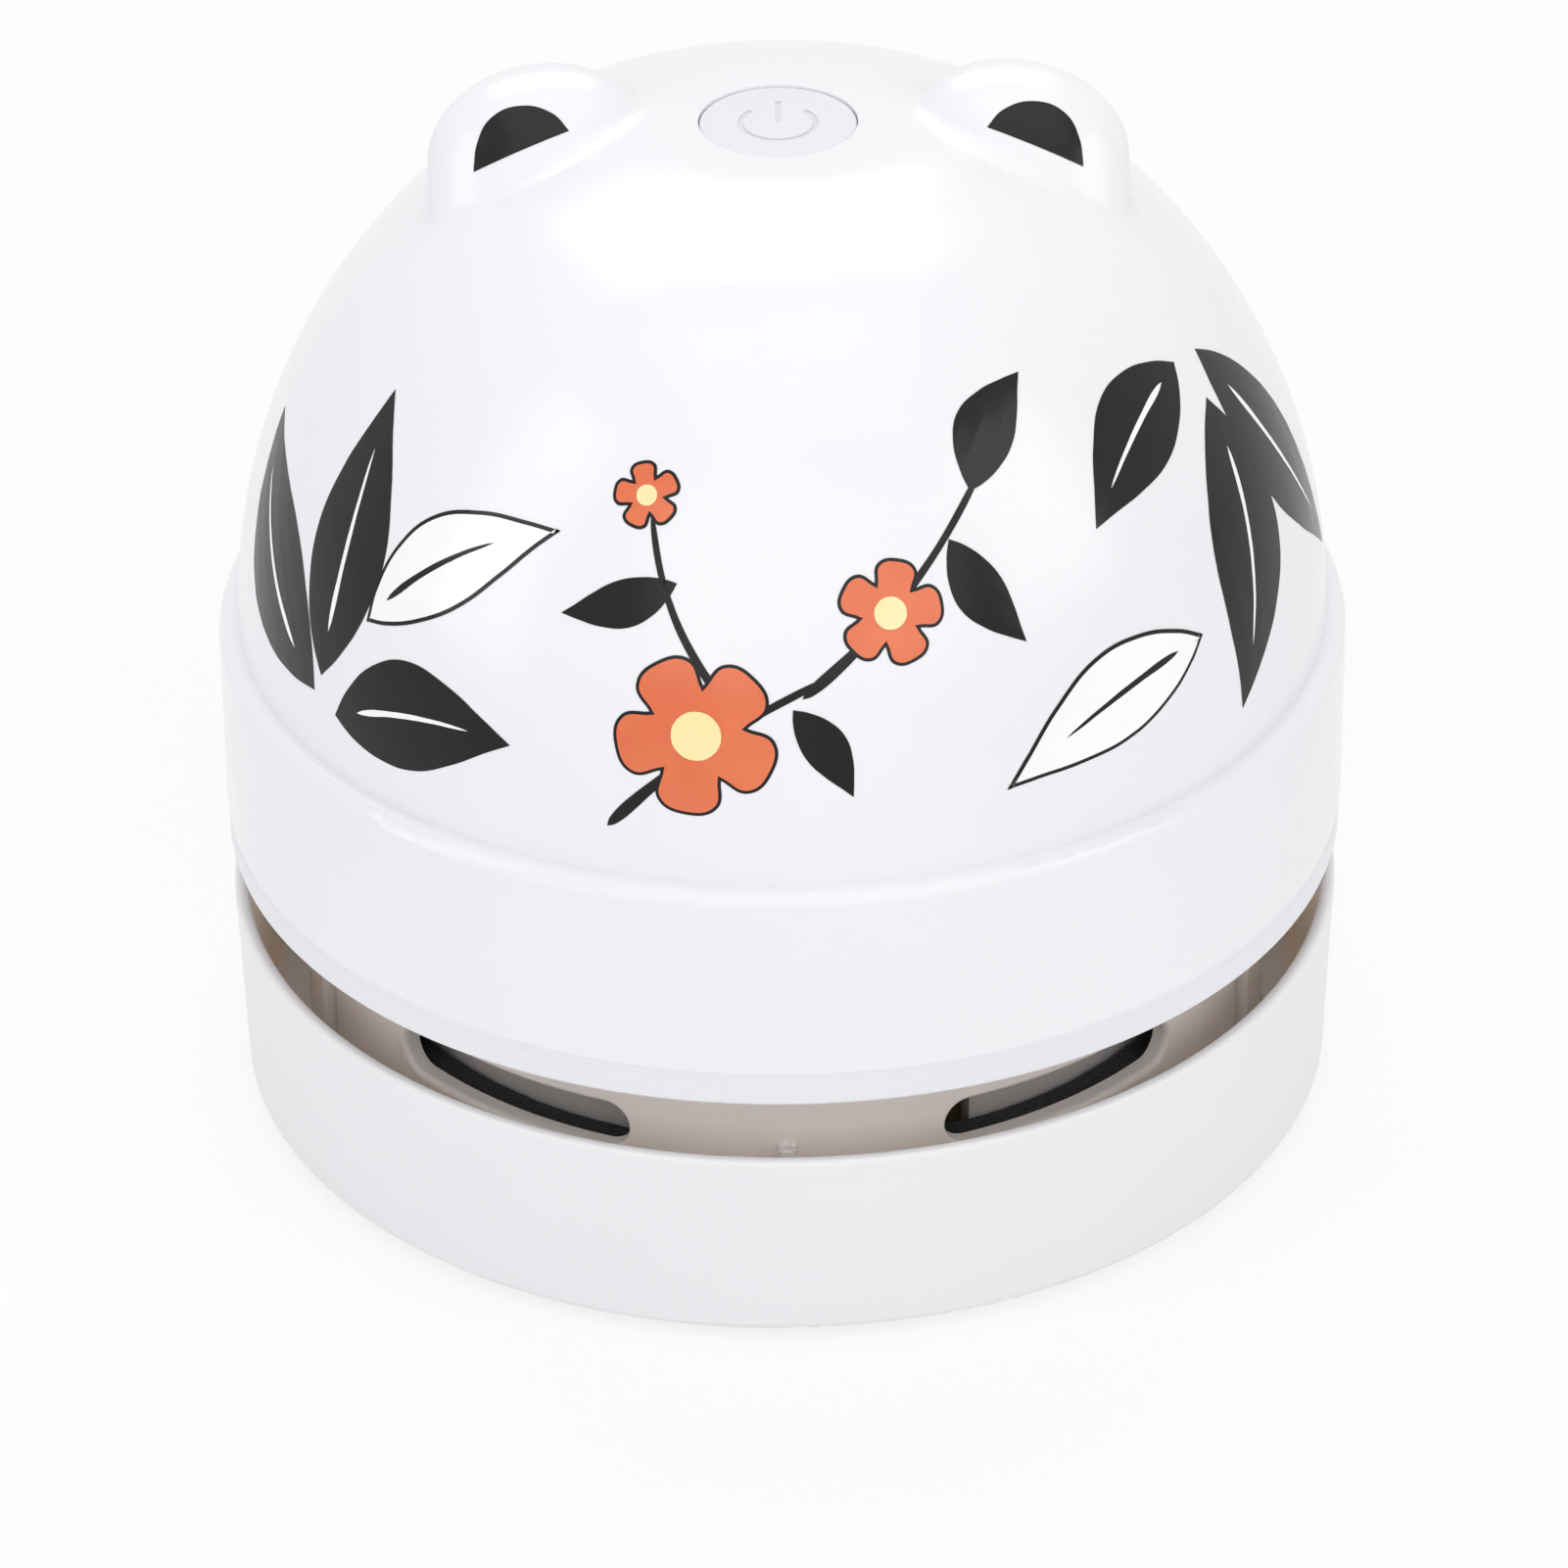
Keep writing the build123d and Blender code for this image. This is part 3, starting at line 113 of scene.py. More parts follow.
# %% the table
bpy.ops.object.select_all(action="DESELECT")
bpy.ops.mesh.primitive_plane_add(size=6, location=(0, 0, 0))
table = bpy.context.object
table.name = "table"
paper = bpy.data.materials.new("table_paper")
paper.use_nodes = True
paper.node_tree.nodes.clear()
tree = paper.node_tree
matt, bright = tree.nodes.new("ShaderNodeBsdfDiffuse"), tree.nodes.new("ShaderNodeEmission")
halves, share = tree.nodes.new("ShaderNodeMixShader"), tree.nodes.new("ShaderNodeMath")
paper_out = tree.nodes.new("ShaderNodeOutputMaterial")
matt.inputs["Color"].default_value = (0.92, 0.92, 0.93, 1)
share.operation = "MULTIPLY"
share.inputs[1].default_value = table_glow
tree.links.new(seen_directly(tree), share.inputs[0])
tree.links.new(share.outputs[0], halves.inputs[0])
tree.links.new(matt.outputs[0], halves.inputs[1])
tree.links.new(bright.outputs[0], halves.inputs[2])
tree.links.new(halves.outputs[0], paper_out.inputs["Surface"])
table.data.materials.append(paper)
print("table:", tuple(round(v, 1) for v in table.dimensions))

# %% [markdown]
# Five soft boxes do the modelling: one overhead, one behind it for the flat crown, one on each
# side, and a wide one behind the camera. The air outlet is a slit that sees only a narrow band
# of the room, so what lights its inner walls is the lamp at the height that the camera looks
# from. Round white plastic also needs broad lamps, which draw calm highlights along the shoulder
# and over the ears.

# %% soft boxes


def soft_box(name, place, size, watts, colour=(1, 1, 1)):
    """A rectangular lamp that faces the middle of the cleaner."""
    lamp = bpy.data.lights.new(name, "AREA")
    lamp.shape, lamp.size, lamp.size_y = "RECTANGLE", size[0], size[1]
    lamp.energy, lamp.color = watts, colour
    stand = bpy.data.objects.new(name, lamp)
    bpy.context.scene.collection.objects.link(stand)
    towards = Vector((0, 0, 0.04)) - Vector(place)
    turn = towards.to_track_quat("-Z", "Y").to_matrix().to_4x4()
    stand.matrix_world = Matrix.Translation(place) @ turn


soft_box("box_overhead", (0.05, -0.25, 0.95), (0.8, 0.8), 1.5)
soft_box("box_back", (-0.05, 0.5, 0.85), (0.8, 0.5), 2.6)
soft_box("box_left", (-0.75, -0.35, 0.42), (0.35, 0.8), 1.5, (0.95, 0.97, 1))
soft_box("box_right", (0.8, -0.4, 0.5), (0.45, 0.6), 1.5)
soft_box("box_front", (0.1, -0.95, 0.56), (1.4, 0.8), 2.9)

# %% [markdown]
# Finishes are built from a few small helpers. Colours are written as on a paint card. A cloud of
# noise on Object coordinates drives a slight drift in colour and gloss, because no moulding is
# perfectly even, and a finer noise gives the grain that the mould leaves.

# %% helpers for finishes


def card(code):
    """A colour from its paint-card code, as a shader wants it."""
    parts = [int(code[i:i + 2], 16) / 255 for i in (0, 2, 4)]
    return [c / 12.92 if c <= 0.04045 else ((c + 0.055) / 1.055) ** 2.4 for c in parts] + [1]


def blank(name):
    """A new material: its tree and its main shader."""
    made = bpy.data.materials.new(name)
    made.use_nodes = True
    return made, made.node_tree, made.node_tree.nodes["Principled BSDF"]


def cloud(tree, across, detail=3.0, stretch=(1, 1, 1)):
    """Noise with patches that are so many millimetres across."""
    place, turn = tree.nodes.new("ShaderNodeTexCoord"), tree.nodes.new("ShaderNodeMapping")
    noise = tree.nodes.new("ShaderNodeTexNoise")
    turn.inputs["Scale"].default_value = stretch
    noise.inputs["Scale"].default_value = 1 / (across * mm)
    noise.inputs["Detail"].default_value = detail
    tree.links.new(place.outputs["Object"], turn.inputs["Vector"])
    tree.links.new(turn.outputs["Vector"], noise.inputs["Vector"])
    return noise.outputs["Fac"]


def spread(tree, driver, low, high, start=0.3, stop=0.7):
    """Stretches a driver from start..stop to low..high."""
    to = tree.nodes.new("ShaderNodeMapRange")
    for socket, value in zip(("From Min", "From Max", "To Min", "To Max"), (start, stop, low, high)):
        to.inputs[socket].default_value = value
    tree.links.new(driver, to.inputs["Value"])
    return to.outputs["Result"]


def tones(tree, driver, *codes):
    """Runs through some paint-card colours as the driver goes from 0 to 1."""
    ramp = tree.nodes.new("ShaderNodeValToRGB")
    while len(ramp.color_ramp.elements) < len(codes):
        ramp.color_ramp.elements.new(0.5)
    for i, code in enumerate(codes):
        ramp.color_ramp.elements[i].position = i / (len(codes) - 1)
        ramp.color_ramp.elements[i].color = card(code)
    tree.links.new(driver, ramp.inputs["Fac"])
    return ramp.outputs["Color"]


def shift_to(tree, mask, first, second):
    """One colour where the mask is 0, the other where it is 1."""
    mix = tree.nodes.new("ShaderNodeMix")
    mix.data_type = "RGBA"
    tree.links.new(mask, mix.inputs["Factor"])
    tree.links.new(first, mix.inputs[6])
    tree.links.new(second, mix.inputs[7])
    return mix.outputs[2]


def relief(tree, shader, driver, depth_mm, strength=1.0):
    """Small bumps on the surface, so many millimetres deep."""
    bump = tree.nodes.new("ShaderNodeBump")
    bump.inputs["Distance"].default_value = depth_mm * mm
    bump.inputs["Strength"].default_value = strength
    tree.links.new(driver, bump.inputs["Height"])
    tree.links.new(bump.outputs["Normal"], shader.inputs["Normal"])


def set_sockets(shader, **values):
    """Plain values on the shader's own sockets, named with underscores."""
    for name, value in values.items():
        shader.inputs[name.replace("_", " ")].default_value = value


print("helpers ready")

# %% [markdown]
# Most of the cleaner is injection-moulded plastic. The dome is glossy white with the faint
# orange peel of a polished mould. The tray and its collar come from a spark-eroded mould and
# are satin. One function makes them all from two close tones, a range of gloss and a grain.

# %% moulded plastics


def moulded(name, dark, light, gloss, grain=(0.5, 0.002), drift=14, **plain):
    """A plastic: two tones, its range of roughness, and its grain as (size, depth) in mm."""
    made, tree, shader = blank(name)
    colour = tones(tree, spread(tree, cloud(tree, drift), 0, 1), dark, light)
    tree.links.new(colour, shader.inputs["Base Color"])
    tree.links.new(spread(tree, cloud(tree, drift / 5, 5), *gloss), shader.inputs["Roughness"])
    relief(tree, shader, cloud(tree, grain[0], 4), grain[1])
    set_sockets(shader, **plain)
    return made


shell_white = moulded("shell_white_gloss", "f0f0f3", "f3f3f5", (0.17, 0.25), (2.2, 0.005), 30)
inner_plastic = moulded("inner_plastic_plain", "d3d2ce", "dddcd8", (0.42, 0.55), (0.35, 0.004))
black_plastic = moulded("black_plastic_plain", "1b1b1d", "262629", (0.38, 0.5), (0.3, 0.004))
pad_rubber = moulded("pad_rubber_soft", "cfcfcd", "dadad7", (0.62, 0.78), (0.25, 0.008))
led_clear = moulded("led_clear_resin", "e9f0dc", "f4f6ea", (0.08, 0.16), (0.6, 0.002), 4,
                    Transmission_Weight=0.55, IOR=1.5)
print("plastics:", [m.name for m in (shell_white, inner_plastic, black_plastic, pad_rubber, led_clear)])

# %% [markdown]
# Tray, collar and fan housing are the same off-white plastic. Their colour carries painted shade:
# the inner walls get warmer tones than the outer skin, and the housing's are darker as well, and
# the collar wall seen through the air outlet is tinted warm all over, for the warm shade inside the
# outlet. A mask by distance from the upright axis tells inner from outer. Thin white plastic also
# lets some light through, and more of the red than of the blue. Subsurface scattering does that,
# and it is what keeps the walls inside the air outlet from going dull.

# %% satin plastic with painted warm shade on its inner walls


def out_from_axis(tree, near, far):
    """0 nearer to the upright axis than near, 1 beyond far, both in mm."""
    place, flat = tree.nodes.new("ShaderNodeTexCoord"), tree.nodes.new("ShaderNodeVectorMath")
    length = tree.nodes.new("ShaderNodeVectorMath")
    flat.operation, length.operation = "MULTIPLY", "LENGTH"
    flat.inputs[1].default_value = (1, 1, 0)
    tree.links.new(place.outputs["Object"], flat.inputs[0])
    tree.links.new(flat.outputs["Vector"], length.inputs[0])
    return spread(tree, length.outputs["Value"], 0, 1, near * mm, far * mm)


def satin(name, outer, inner, edge, gloss=(0.3, 0.42), grain=(0.3, 0.004), glow=0.6):
    """Off-white plastic with an outer and an inner pair of tones, which meet at a radius; the inner
    pair is painted shade.
    """
    made, tree, shader = blank(name)
    drift = spread(tree, cloud(tree, 16, 1), 0, 1, 0, 1)
    mask = out_from_axis(tree, edge - 0.3, edge + 0.3)
    # the inner tones, inside the edge radius, are painted shade
    colour = shift_to(tree, mask, tones(tree, drift, *inner), tones(tree, drift, *outer))
    tree.links.new(colour, shader.inputs["Base Color"])
    tree.links.new(spread(tree, cloud(tree, 4, 1), *gloss, 0, 1), shader.inputs["Roughness"])
    if glow:
        tree.links.new(spread(tree, mask, glow, 0, 0, 1), shader.inputs["Subsurface Weight"])
    relief(tree, shader, cloud(tree, grain[0], 4), grain[1])
    set_sockets(shader, Subsurface_Scale=2.2 * mm, Subsurface_Radius=(1, 0.72, 0.52))
    return made


# Outer then inner tones. The inner ones are painted shade: warmer, and for the housing darker. The
# collar's tones are all tinted warm as painted shade.
tray_tones_and_painted_shade = ("eeedef", "f1f0f2"), ("f8ede4", "faf1e9")
collar_painted_shade_tones = ("fcf5f0", "fdf7f2"), ("f9f1eb", "faf4ee")
housing_tones_and_painted_shade = ("eaeaed", "ededf0"), ("d8d2cf", "dcd7d4")
tray_edge, collar_edge, housing_edge = 41.3, 33, 41.4
tray_satin = satin("tray_satin", *tray_tones_and_painted_shade, tray_edge)
collar_satin = satin("collar_satin", *collar_painted_shade_tones, collar_edge, (0.26, 0.32))
housing_satin = satin("housing_satin", *housing_tones_and_painted_shade, housing_edge)
tray_turned = satin("tray_turned", *tray_tones_and_painted_shade, tray_edge, glow=0)
housing_turned = satin("housing_turned", *housing_tones_and_painted_shade, housing_edge, glow=0)
tube_satin = moulded("tube_satin", "dddbd7", "e6e4e1", (0.3, 0.42), (0.3, 0.004))
print("satin finishes:", tray_satin.name, collar_satin.name, housing_satin.name)

# %% [markdown]
# Metals carry the marks of how they were made. Screws are zinc-plated with a rolled thread, here
# a fine wave up the shank. The motor can is deep-drawn, so its gloss streaks along the axis.
# The socket and the tabs are nickel-plated sheet with rolling marks.

# %% metals


def metal(name, dark, light, gloss, stretch=(1, 1, 1), grain=(0.25, 0.002), across=1.2):
    """Bare or plated metal with gloss that streaks along the shorter stretch."""
    made, tree, shader = blank(name)
    colour = tones(tree, spread(tree, cloud(tree, 5), 0, 1), dark, light)
    tree.links.new(colour, shader.inputs["Base Color"])
    tree.links.new(spread(tree, cloud(tree, across, 6, stretch), *gloss), shader.inputs["Roughness"])
    relief(tree, shader, cloud(tree, grain[0], 4, stretch), grain[1])
    set_sockets(shader, Metallic=1.0)
    return made


def threaded(made, pitch=0.7):
    """Adds the thread of a small screw: a ridge every pitch mm of height."""
    tree = made.node_tree
    place, wave = tree.nodes.new("ShaderNodeTexCoord"), tree.nodes.new("ShaderNodeTexWave")
    wave.bands_direction = "Z"
    wave.inputs["Scale"].default_value = 0.314 / (pitch * mm)
    tree.links.new(place.outputs["Object"], wave.inputs["Vector"])
    relief(tree, tree.nodes["Principled BSDF"], wave.outputs["Fac"], 0.12, 0.6)
    return made


screw_zinc = threaded(metal("screw_zinc", "b3b4b6", "c9cacb", (0.24, 0.42)))
shaft_steel = metal("shaft_ground_steel", "c2c2c3", "d2d2d2", (0.12, 0.22), (6, 6, 0.6))
can_steel = metal("can_drawn_steel", "b9b9b6", "cccbc8", (0.2, 0.38), (5, 5, 0.4))
core_steel = metal("core_stacked_steel", "8b8884", "a3a09b", (0.35, 0.5), (0.3, 0.3, 9), (0.3, 0.02))
nickel_sheet = metal("nickel_sheet", "c6c4bf", "d8d6d1", (0.16, 0.3), (0.5, 5, 5))
brass_sheet = metal("brass_sheet", "c9a45c", "d9b974", (0.22, 0.36), (5, 0.6, 5))
copper_bar = metal("copper_bar", "b8673f", "cf8055", (0.24, 0.4), (5, 5, 0.5))
bronze_sintered = metal("bronze_sintered", "9a6f3d", "b1854f", (0.42, 0.6), grain=(0.12, 0.012))
magnet_ferrite = moulded("magnet_ferrite", "242427", "323236", (0.55, 0.72), (0.15, 0.012))
metals = (screw_zinc, shaft_steel, can_steel, core_steel, nickel_sheet, brass_sheet, copper_bar,
          bronze_sintered)
print("metals:", [m.name for m in metals])

# %% [markdown]
# Two finishes need a pattern of their own. A circuit board is green lacquer over copper tracks,
# which show as slightly paler, raised bands. The cell wears a shrink sleeve, with bare metal
# only at its two ends, so a mask along its length changes colour and metal together.

# %% circuit board and cell sleeve


def circuit_board():
    """Green lacquer with paler tracks, from a brick pattern and its mortar."""
    made, tree, shader = blank("circuit_board_green")
    place, brick = tree.nodes.new("ShaderNodeTexCoord"), tree.nodes.new("ShaderNodeTexBrick")
    brick.inputs["Scale"].default_value = 260
    brick.inputs["Mortar Size"].default_value = 0.05
    brick.inputs["Color1"].default_value = card("15583a")
    brick.inputs["Color2"].default_value = card("1a6342")
    brick.inputs["Mortar"].default_value = card("2f8058")
    tree.links.new(place.outputs["Object"], brick.inputs["Vector"])
    tree.links.new(brick.outputs["Color"], shader.inputs["Base Color"])
    tree.links.new(spread(tree, cloud(tree, 2), 0.22, 0.34), shader.inputs["Roughness"])
    relief(tree, shader, brick.outputs["Fac"], 0.03, 0.7)
    return made


def shrink_sleeve(ends_from=22.6):
    """A blue sleeve, with bare metal further than so many mm along X to either side."""
    made, tree, shader = blank("cell_shrink_sleeve")
    place, parts = tree.nodes.new("ShaderNodeTexCoord"), tree.nodes.new("ShaderNodeSeparateXYZ")
    either = tree.nodes.new("ShaderNodeMath")
    either.operation = "ABSOLUTE"
    tree.links.new(place.outputs["Object"], parts.inputs["Vector"])
    tree.links.new(parts.outputs["X"], either.inputs[0])
    ends = spread(tree, either.outputs[0], 0, 1, ends_from * mm, (ends_from + 0.1) * mm)
    drift = spread(tree, cloud(tree, 6), 0, 1)
    sleeve, bare = tones(tree, drift, "2c5f96", "3a72ab"), tones(tree, drift, "b9b8b4", "cfceca")
    tree.links.new(shift_to(tree, ends, sleeve, bare), shader.inputs["Base Color"])
    tree.links.new(ends, shader.inputs["Metallic"])
    streaks = cloud(tree, 1.5, 4, (0.4, 3, 3))
    tree.links.new(spread(tree, streaks, 0.2, 0.36), shader.inputs["Roughness"])
    relief(tree, shader, cloud(tree, 1.1, 3, (0.35, 2, 2)), 0.02)
    return made


board_green, cell_sleeve = circuit_board(), shrink_sleeve()
print("patterned finishes:", board_green.name, cell_sleeve.name)

# %% [markdown]
# Each solid now gets its finish. The mesh stays as it is: only the material in its slot changes.

# %% dress the solids
finishes = {
    shell_white: ["upper_shell"],
    tray_satin: ["base_tray"],
    tube_satin: ["inlet_tube"],
    collar_satin: ["slotted_collar"],
    housing_satin: ["fan_housing"],
    inner_plastic: ["intake_grille", "filter_frame", "motor_mount", "battery_cradle", "impeller"],
    black_plastic: ["motor_end_cap", "board_chips", "tact_switch", "switch_plunger"],
    pad_rubber: ["glide_pads"],
    led_clear: ["indicator_leds"],
    screw_zinc: ["collar_screws", "case_screws", "motor_screws", "mount_screws", "board_screws",
                 "switch_screws"],
    shaft_steel: ["motor_shaft"],
    can_steel: ["motor_can"],
    core_steel: ["motor_armature"],
    nickel_sheet: ["battery_tabs", "usb_socket"],
    brass_sheet: ["motor_terminals"],
    copper_bar: ["motor_commutator"],
    bronze_sintered: ["motor_bearing"],
    magnet_ferrite: ["motor_magnets"],
    board_green: ["charging_board", "switch_board"],
    cell_sleeve: ["battery_cell"],
}
for finish, names in finishes.items():
    for name in names:
        for place in node[name].material_slots:
            place.material = finish
print("dressed:", sum(len(names) for names in finishes.values()), "of", len(node))

# %% [markdown]
# New pieces are modelled as by hand. An operator acts on everything selected, so the first
# helper leaves just one piece selected. The others pick points in edit mode by where they are,
# apply modifiers, and put a finished piece's place into its mesh, as every solid here has it.

# %% helpers for modelling


def only(piece):
    """Selects one piece alone."""
    bpy.ops.object.select_all(action="DESELECT")
    piece.select_set(True)
    bpy.context.view_layer.objects.active = piece


def added(name):
    """Names the primitive that was just added."""
    piece = bpy.context.object
    piece.name = piece.data.name = name
    return piece


def pick(piece, where, kind="VERT"):
    """In edit mode, selects the points, or the faces by their middle, that pass a test."""
    bpy.ops.object.mode_set(mode="OBJECT")
    mesh = piece.data
    for part in (mesh.vertices, mesh.edges, mesh.polygons):
        part.foreach_set("select", [False] * len(part))
    found = 0
    if kind == "VERT":
        for v in mesh.vertices:
            v.select = bool(where(v.co))
            found += v.select
    else:
        for f in mesh.polygons:
            f.select = bool(where(f.center))
            found += f.select
    bpy.ops.object.mode_set(mode="EDIT")
    bpy.ops.mesh.select_mode(type=kind)
    return found


def edit(piece):
    """Opens a piece with all of it selected."""
    only(piece)
    bpy.ops.object.mode_set(mode="EDIT")
    bpy.ops.mesh.select_all(action="SELECT")


def done():
    """Closes edit mode."""
    bpy.ops.object.mode_set(mode="OBJECT")


def apply_all(piece):
    """Applies the piece's modifiers in order."""
    only(piece)
    for modifier in list(piece.modifiers):
        bpy.ops.object.modifier_apply(modifier=modifier.name)


def settle(piece, finish, body, angle=35):
    """Puts the place into the mesh, then gives finish, body and smooth shading."""
    only(piece)
    bpy.ops.object.transform_apply(location=True, rotation=True, scale=True)
    bpy.ops.object.shade_smooth_by_angle(angle=math.radians(angle))
    piece.data.materials.clear()
    piece.data.materials.append(finish)
    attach(piece, body)


def join(pieces, name):
    """Makes one piece of several."""
    only(pieces[0])
    for piece in pieces:
        piece.select_set(True)
    if len(pieces) > 1:
        bpy.ops.object.join()
    return added(name)


print("modelling helpers ready")

# %% [markdown]
# ## The push button
# The milky disc in the flat crown has a power mark sunk into it: a ring that is open at the back
# and a short bar. A copy of the button's solid is merged into one skin, its edge is drawn a little
# closer to the shell, and two thin cutters, a band and a bar, are taken out of it with a Boolean.

# %% cutter for the power mark
_, button_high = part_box("power_button")
mark_r, mark_w, mark_depth = 2.75 * mm, 0.42 * mm, 0.12 * mm
open_half, bar_middle, bar_length = math.radians(43), 1.75 * mm, 3.4 * mm
mark_floor = button_high.z - mark_depth
bpy.ops.object.select_all(action="DESELECT")
bpy.ops.mesh.primitive_circle_add(vertices=96, radius=mark_r - mark_w / 2, location=(0, 0, 0))
band = added("mark_band")
pick(band, lambda p: p.y > 0 and abs(math.atan2(p.x, p.y)) < open_half)
bpy.ops.mesh.delete(type="VERT")
bpy.ops.mesh.select_all(action="SELECT")
bpy.ops.mesh.extrude_edges_move()
wider = (mark_r + mark_w / 2) / (mark_r - mark_w / 2)
bpy.ops.transform.resize(value=(wider, wider, 1), center_override=(0, 0, 0))
bpy.ops.mesh.select_all(action="SELECT")
bpy.ops.mesh.extrude_region_move(TRANSFORM_OT_translate={"value": (0, 0, 1 * mm)})
bpy.ops.mesh.select_all(action="SELECT")
bpy.ops.mesh.normals_make_consistent(inside=False)
done()
band.location.z = mark_floor
bpy.ops.mesh.primitive_cube_add(size=1, location=(0, bar_middle, mark_floor + 0.5 * mm))
bar = added("mark_bar")
bar.scale = (mark_w, bar_length, 1 * mm)
print("mark band points:", len(band.data.vertices))

# %% the marked button
marked_button = bpy.data.objects.new("marked_button", node["power_button"].data.copy())
bpy.context.scene.collection.objects.link(marked_button)
edit(marked_button)
bpy.ops.mesh.customdata_custom_splitnormals_clear()
bpy.ops.mesh.remove_doubles(threshold=0.001 * mm)
gap_closed = 0.07 * mm
disc_edge = max(v.co.to_2d().length for v in marked_button.data.vertices
                if v.co.z > button_high.z - 0.5 * mm)
pick(marked_button, lambda p: p.z > button_high.z - 1.2 * mm
     and abs(p.to_2d().length - disc_edge) < 0.3 * mm)
closer = 1 + gap_closed / disc_edge
bpy.ops.transform.resize(value=(closer, closer, 1), center_override=(0, 0, 0))
done()
for cutter in (band, bar):
    cut = marked_button.modifiers.new("cut", "BOOLEAN")
    cut.operation, cut.solver, cut.object = "DIFFERENCE", "EXACT", cutter
apply_all(marked_button)
for cutter in (band, bar):
    bpy.data.objects.remove(cutter)
button_milky = moulded("button_milky", "e6e7eb", "e9eaed", (0.26, 0.3), (1.6, 0.0003), 30)
# the sunk mark's faces get a greyer tone than the disc: painted shade in the groove
mark_painted_shade = moulded("mark_painted_shade", "dfdfe2", "e3e3e6", (0.4, 0.5), (0.3, 0.001), 12)
settle(marked_button, button_milky, "button", 28)
marked_button.data.materials.append(mark_painted_shade)
marked_button.active_material_index = 1
# the faces inside the groove take the greyer finish, painted shade
sunk = pick(marked_button, lambda p: mark_floor - 0.01 * mm < p.z < button_high.z - 0.01 * mm
            and p.to_2d().length < mark_r + mark_w, "FACE")
bpy.ops.object.material_slot_assign()
done()
print("sunk faces:", sunk)
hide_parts("power_button")
print("button points:", len(marked_button.data.vertices))

# %% [markdown]
# ## Printed ink on the dome
# The dome is pad-printed in glossy ink: long dark leaves at both sides, outlined pale leaves, and
# coral blossoms with cream hearts. Ink is a skin of two hundredths of a millimetre. Each shape is
# drawn flat as a closed curve, made a mesh, cut into small squares so that it can bend, and laid
# on the dome by a Shrinkwrap modifier. Solidify then gives the ink its thickness.

# %% inks
ink_dark = moulded("ink_dark", "141416", "1c1b1e", (0.12, 0.2), (2.2, 0.006), 12,
                   Specular_IOR_Level=0.25)
ink_pale = moulded("ink_pale", "fafafa", "ffffff", (0.12, 0.2), (2.2, 0.006), 12)
ink_coral = moulded("ink_coral", "e06a40", "ea7a4d", (0.14, 0.22), (2.2, 0.006), 6)
ink_cream = moulded("ink_cream", "fbe7a0", "fdeeb6", (0.14, 0.22), (2.2, 0.006), 6)
ink_of = {"dark": ink_dark, "pale": ink_pale, "coral": ink_coral, "cream": ink_cream}
lift_of = {"dark": 0.04, "pale": 0.075, "coral": 0.075, "cream": 0.11}
printed = {name: [] for name in ink_of}
above = 12 * mm    # how far over the dome a shape is drawn before it is laid
shell = node["upper_shell"]
print("inks:", list(ink_of))

# %% where a print lies on the dome


def on_dome(azimuth, height):
    """The dome's surface at an azimuth from the front and a height in mm, and its outward normal."""
    angle = math.radians(azimuth)
    out = Vector((math.sin(angle), -math.cos(angle), 0))
    start = Vector((0, 0, height * mm)) + out * 0.1
    _, place, normal, _ = shell.ray_cast(start, -out)
    return place, normal if normal.dot(out) > 0 else -normal


def leaf_frame(base, tip):
    """A plane over the dome whose x axis runs from base to tip, and the distance in mm."""
    start, _ = on_dome(*base)
    end, _ = on_dome(*tip)
    middle = (start + end) / 2
    azimuth = math.degrees(math.atan2(middle.x, -middle.y))
    _, normal = on_dome(azimuth, middle.z / mm)
    along = end - start
    along = (along - normal * along.dot(normal)).normalized()
    across = normal.cross(along)
    turn = Matrix((along, across, normal)).transposed().to_4x4()
    return Matrix.Translation(middle + normal * above) @ turn, (end - start).length / mm


print("front of the dome at 60 mm:", [round(v / mm, 2) for v in on_dome(0, 60)[0]])

# %% drawing and laying one shape


def drawn(name, points, corners=()):
    """A flat closed shape through points in mm, sharp only at the listed ones, as a mesh."""
    curve = bpy.data.curves.new(name, "CURVE")
    curve.dimensions, curve.fill_mode, curve.resolution_u = "2D", "BOTH", 12
    line = curve.splines.new("BEZIER")
    line.bezier_points.add(len(points) - 1)
    line.use_cyclic_u = True
    for i, (point, at) in enumerate(zip(line.bezier_points, points)):
        point.co = (at[0] * mm, at[1] * mm, 0)
        point.handle_left_type = point.handle_right_type = "VECTOR" if i in corners else "AUTO"
    piece = bpy.data.objects.new(name, curve)
    bpy.context.scene.collection.objects.link(piece)
    only(piece)
    bpy.ops.object.convert(target="MESH")
    return bpy.context.object


def diced(piece, step=0.9 * mm):
    """Cuts a flat piece into squares, so that it can follow a curved surface."""
    corners = [v.co.copy() for v in piece.data.vertices]
    edit(piece)
    for axis in (0, 1):
        low, high = min(c[axis] for c in corners), max(c[axis] for c in corners)
        for i in range(1, int((high - low) / step) + 1):
            at, facing = Vector((0, 0, 0)), Vector((0, 0, 0))
            at[axis], facing[axis] = low + i * step, 1
            bpy.ops.mesh.select_all(action="SELECT")
            bpy.ops.mesh.bisect(plane_co=at, plane_no=facing)
    done()
    return piece


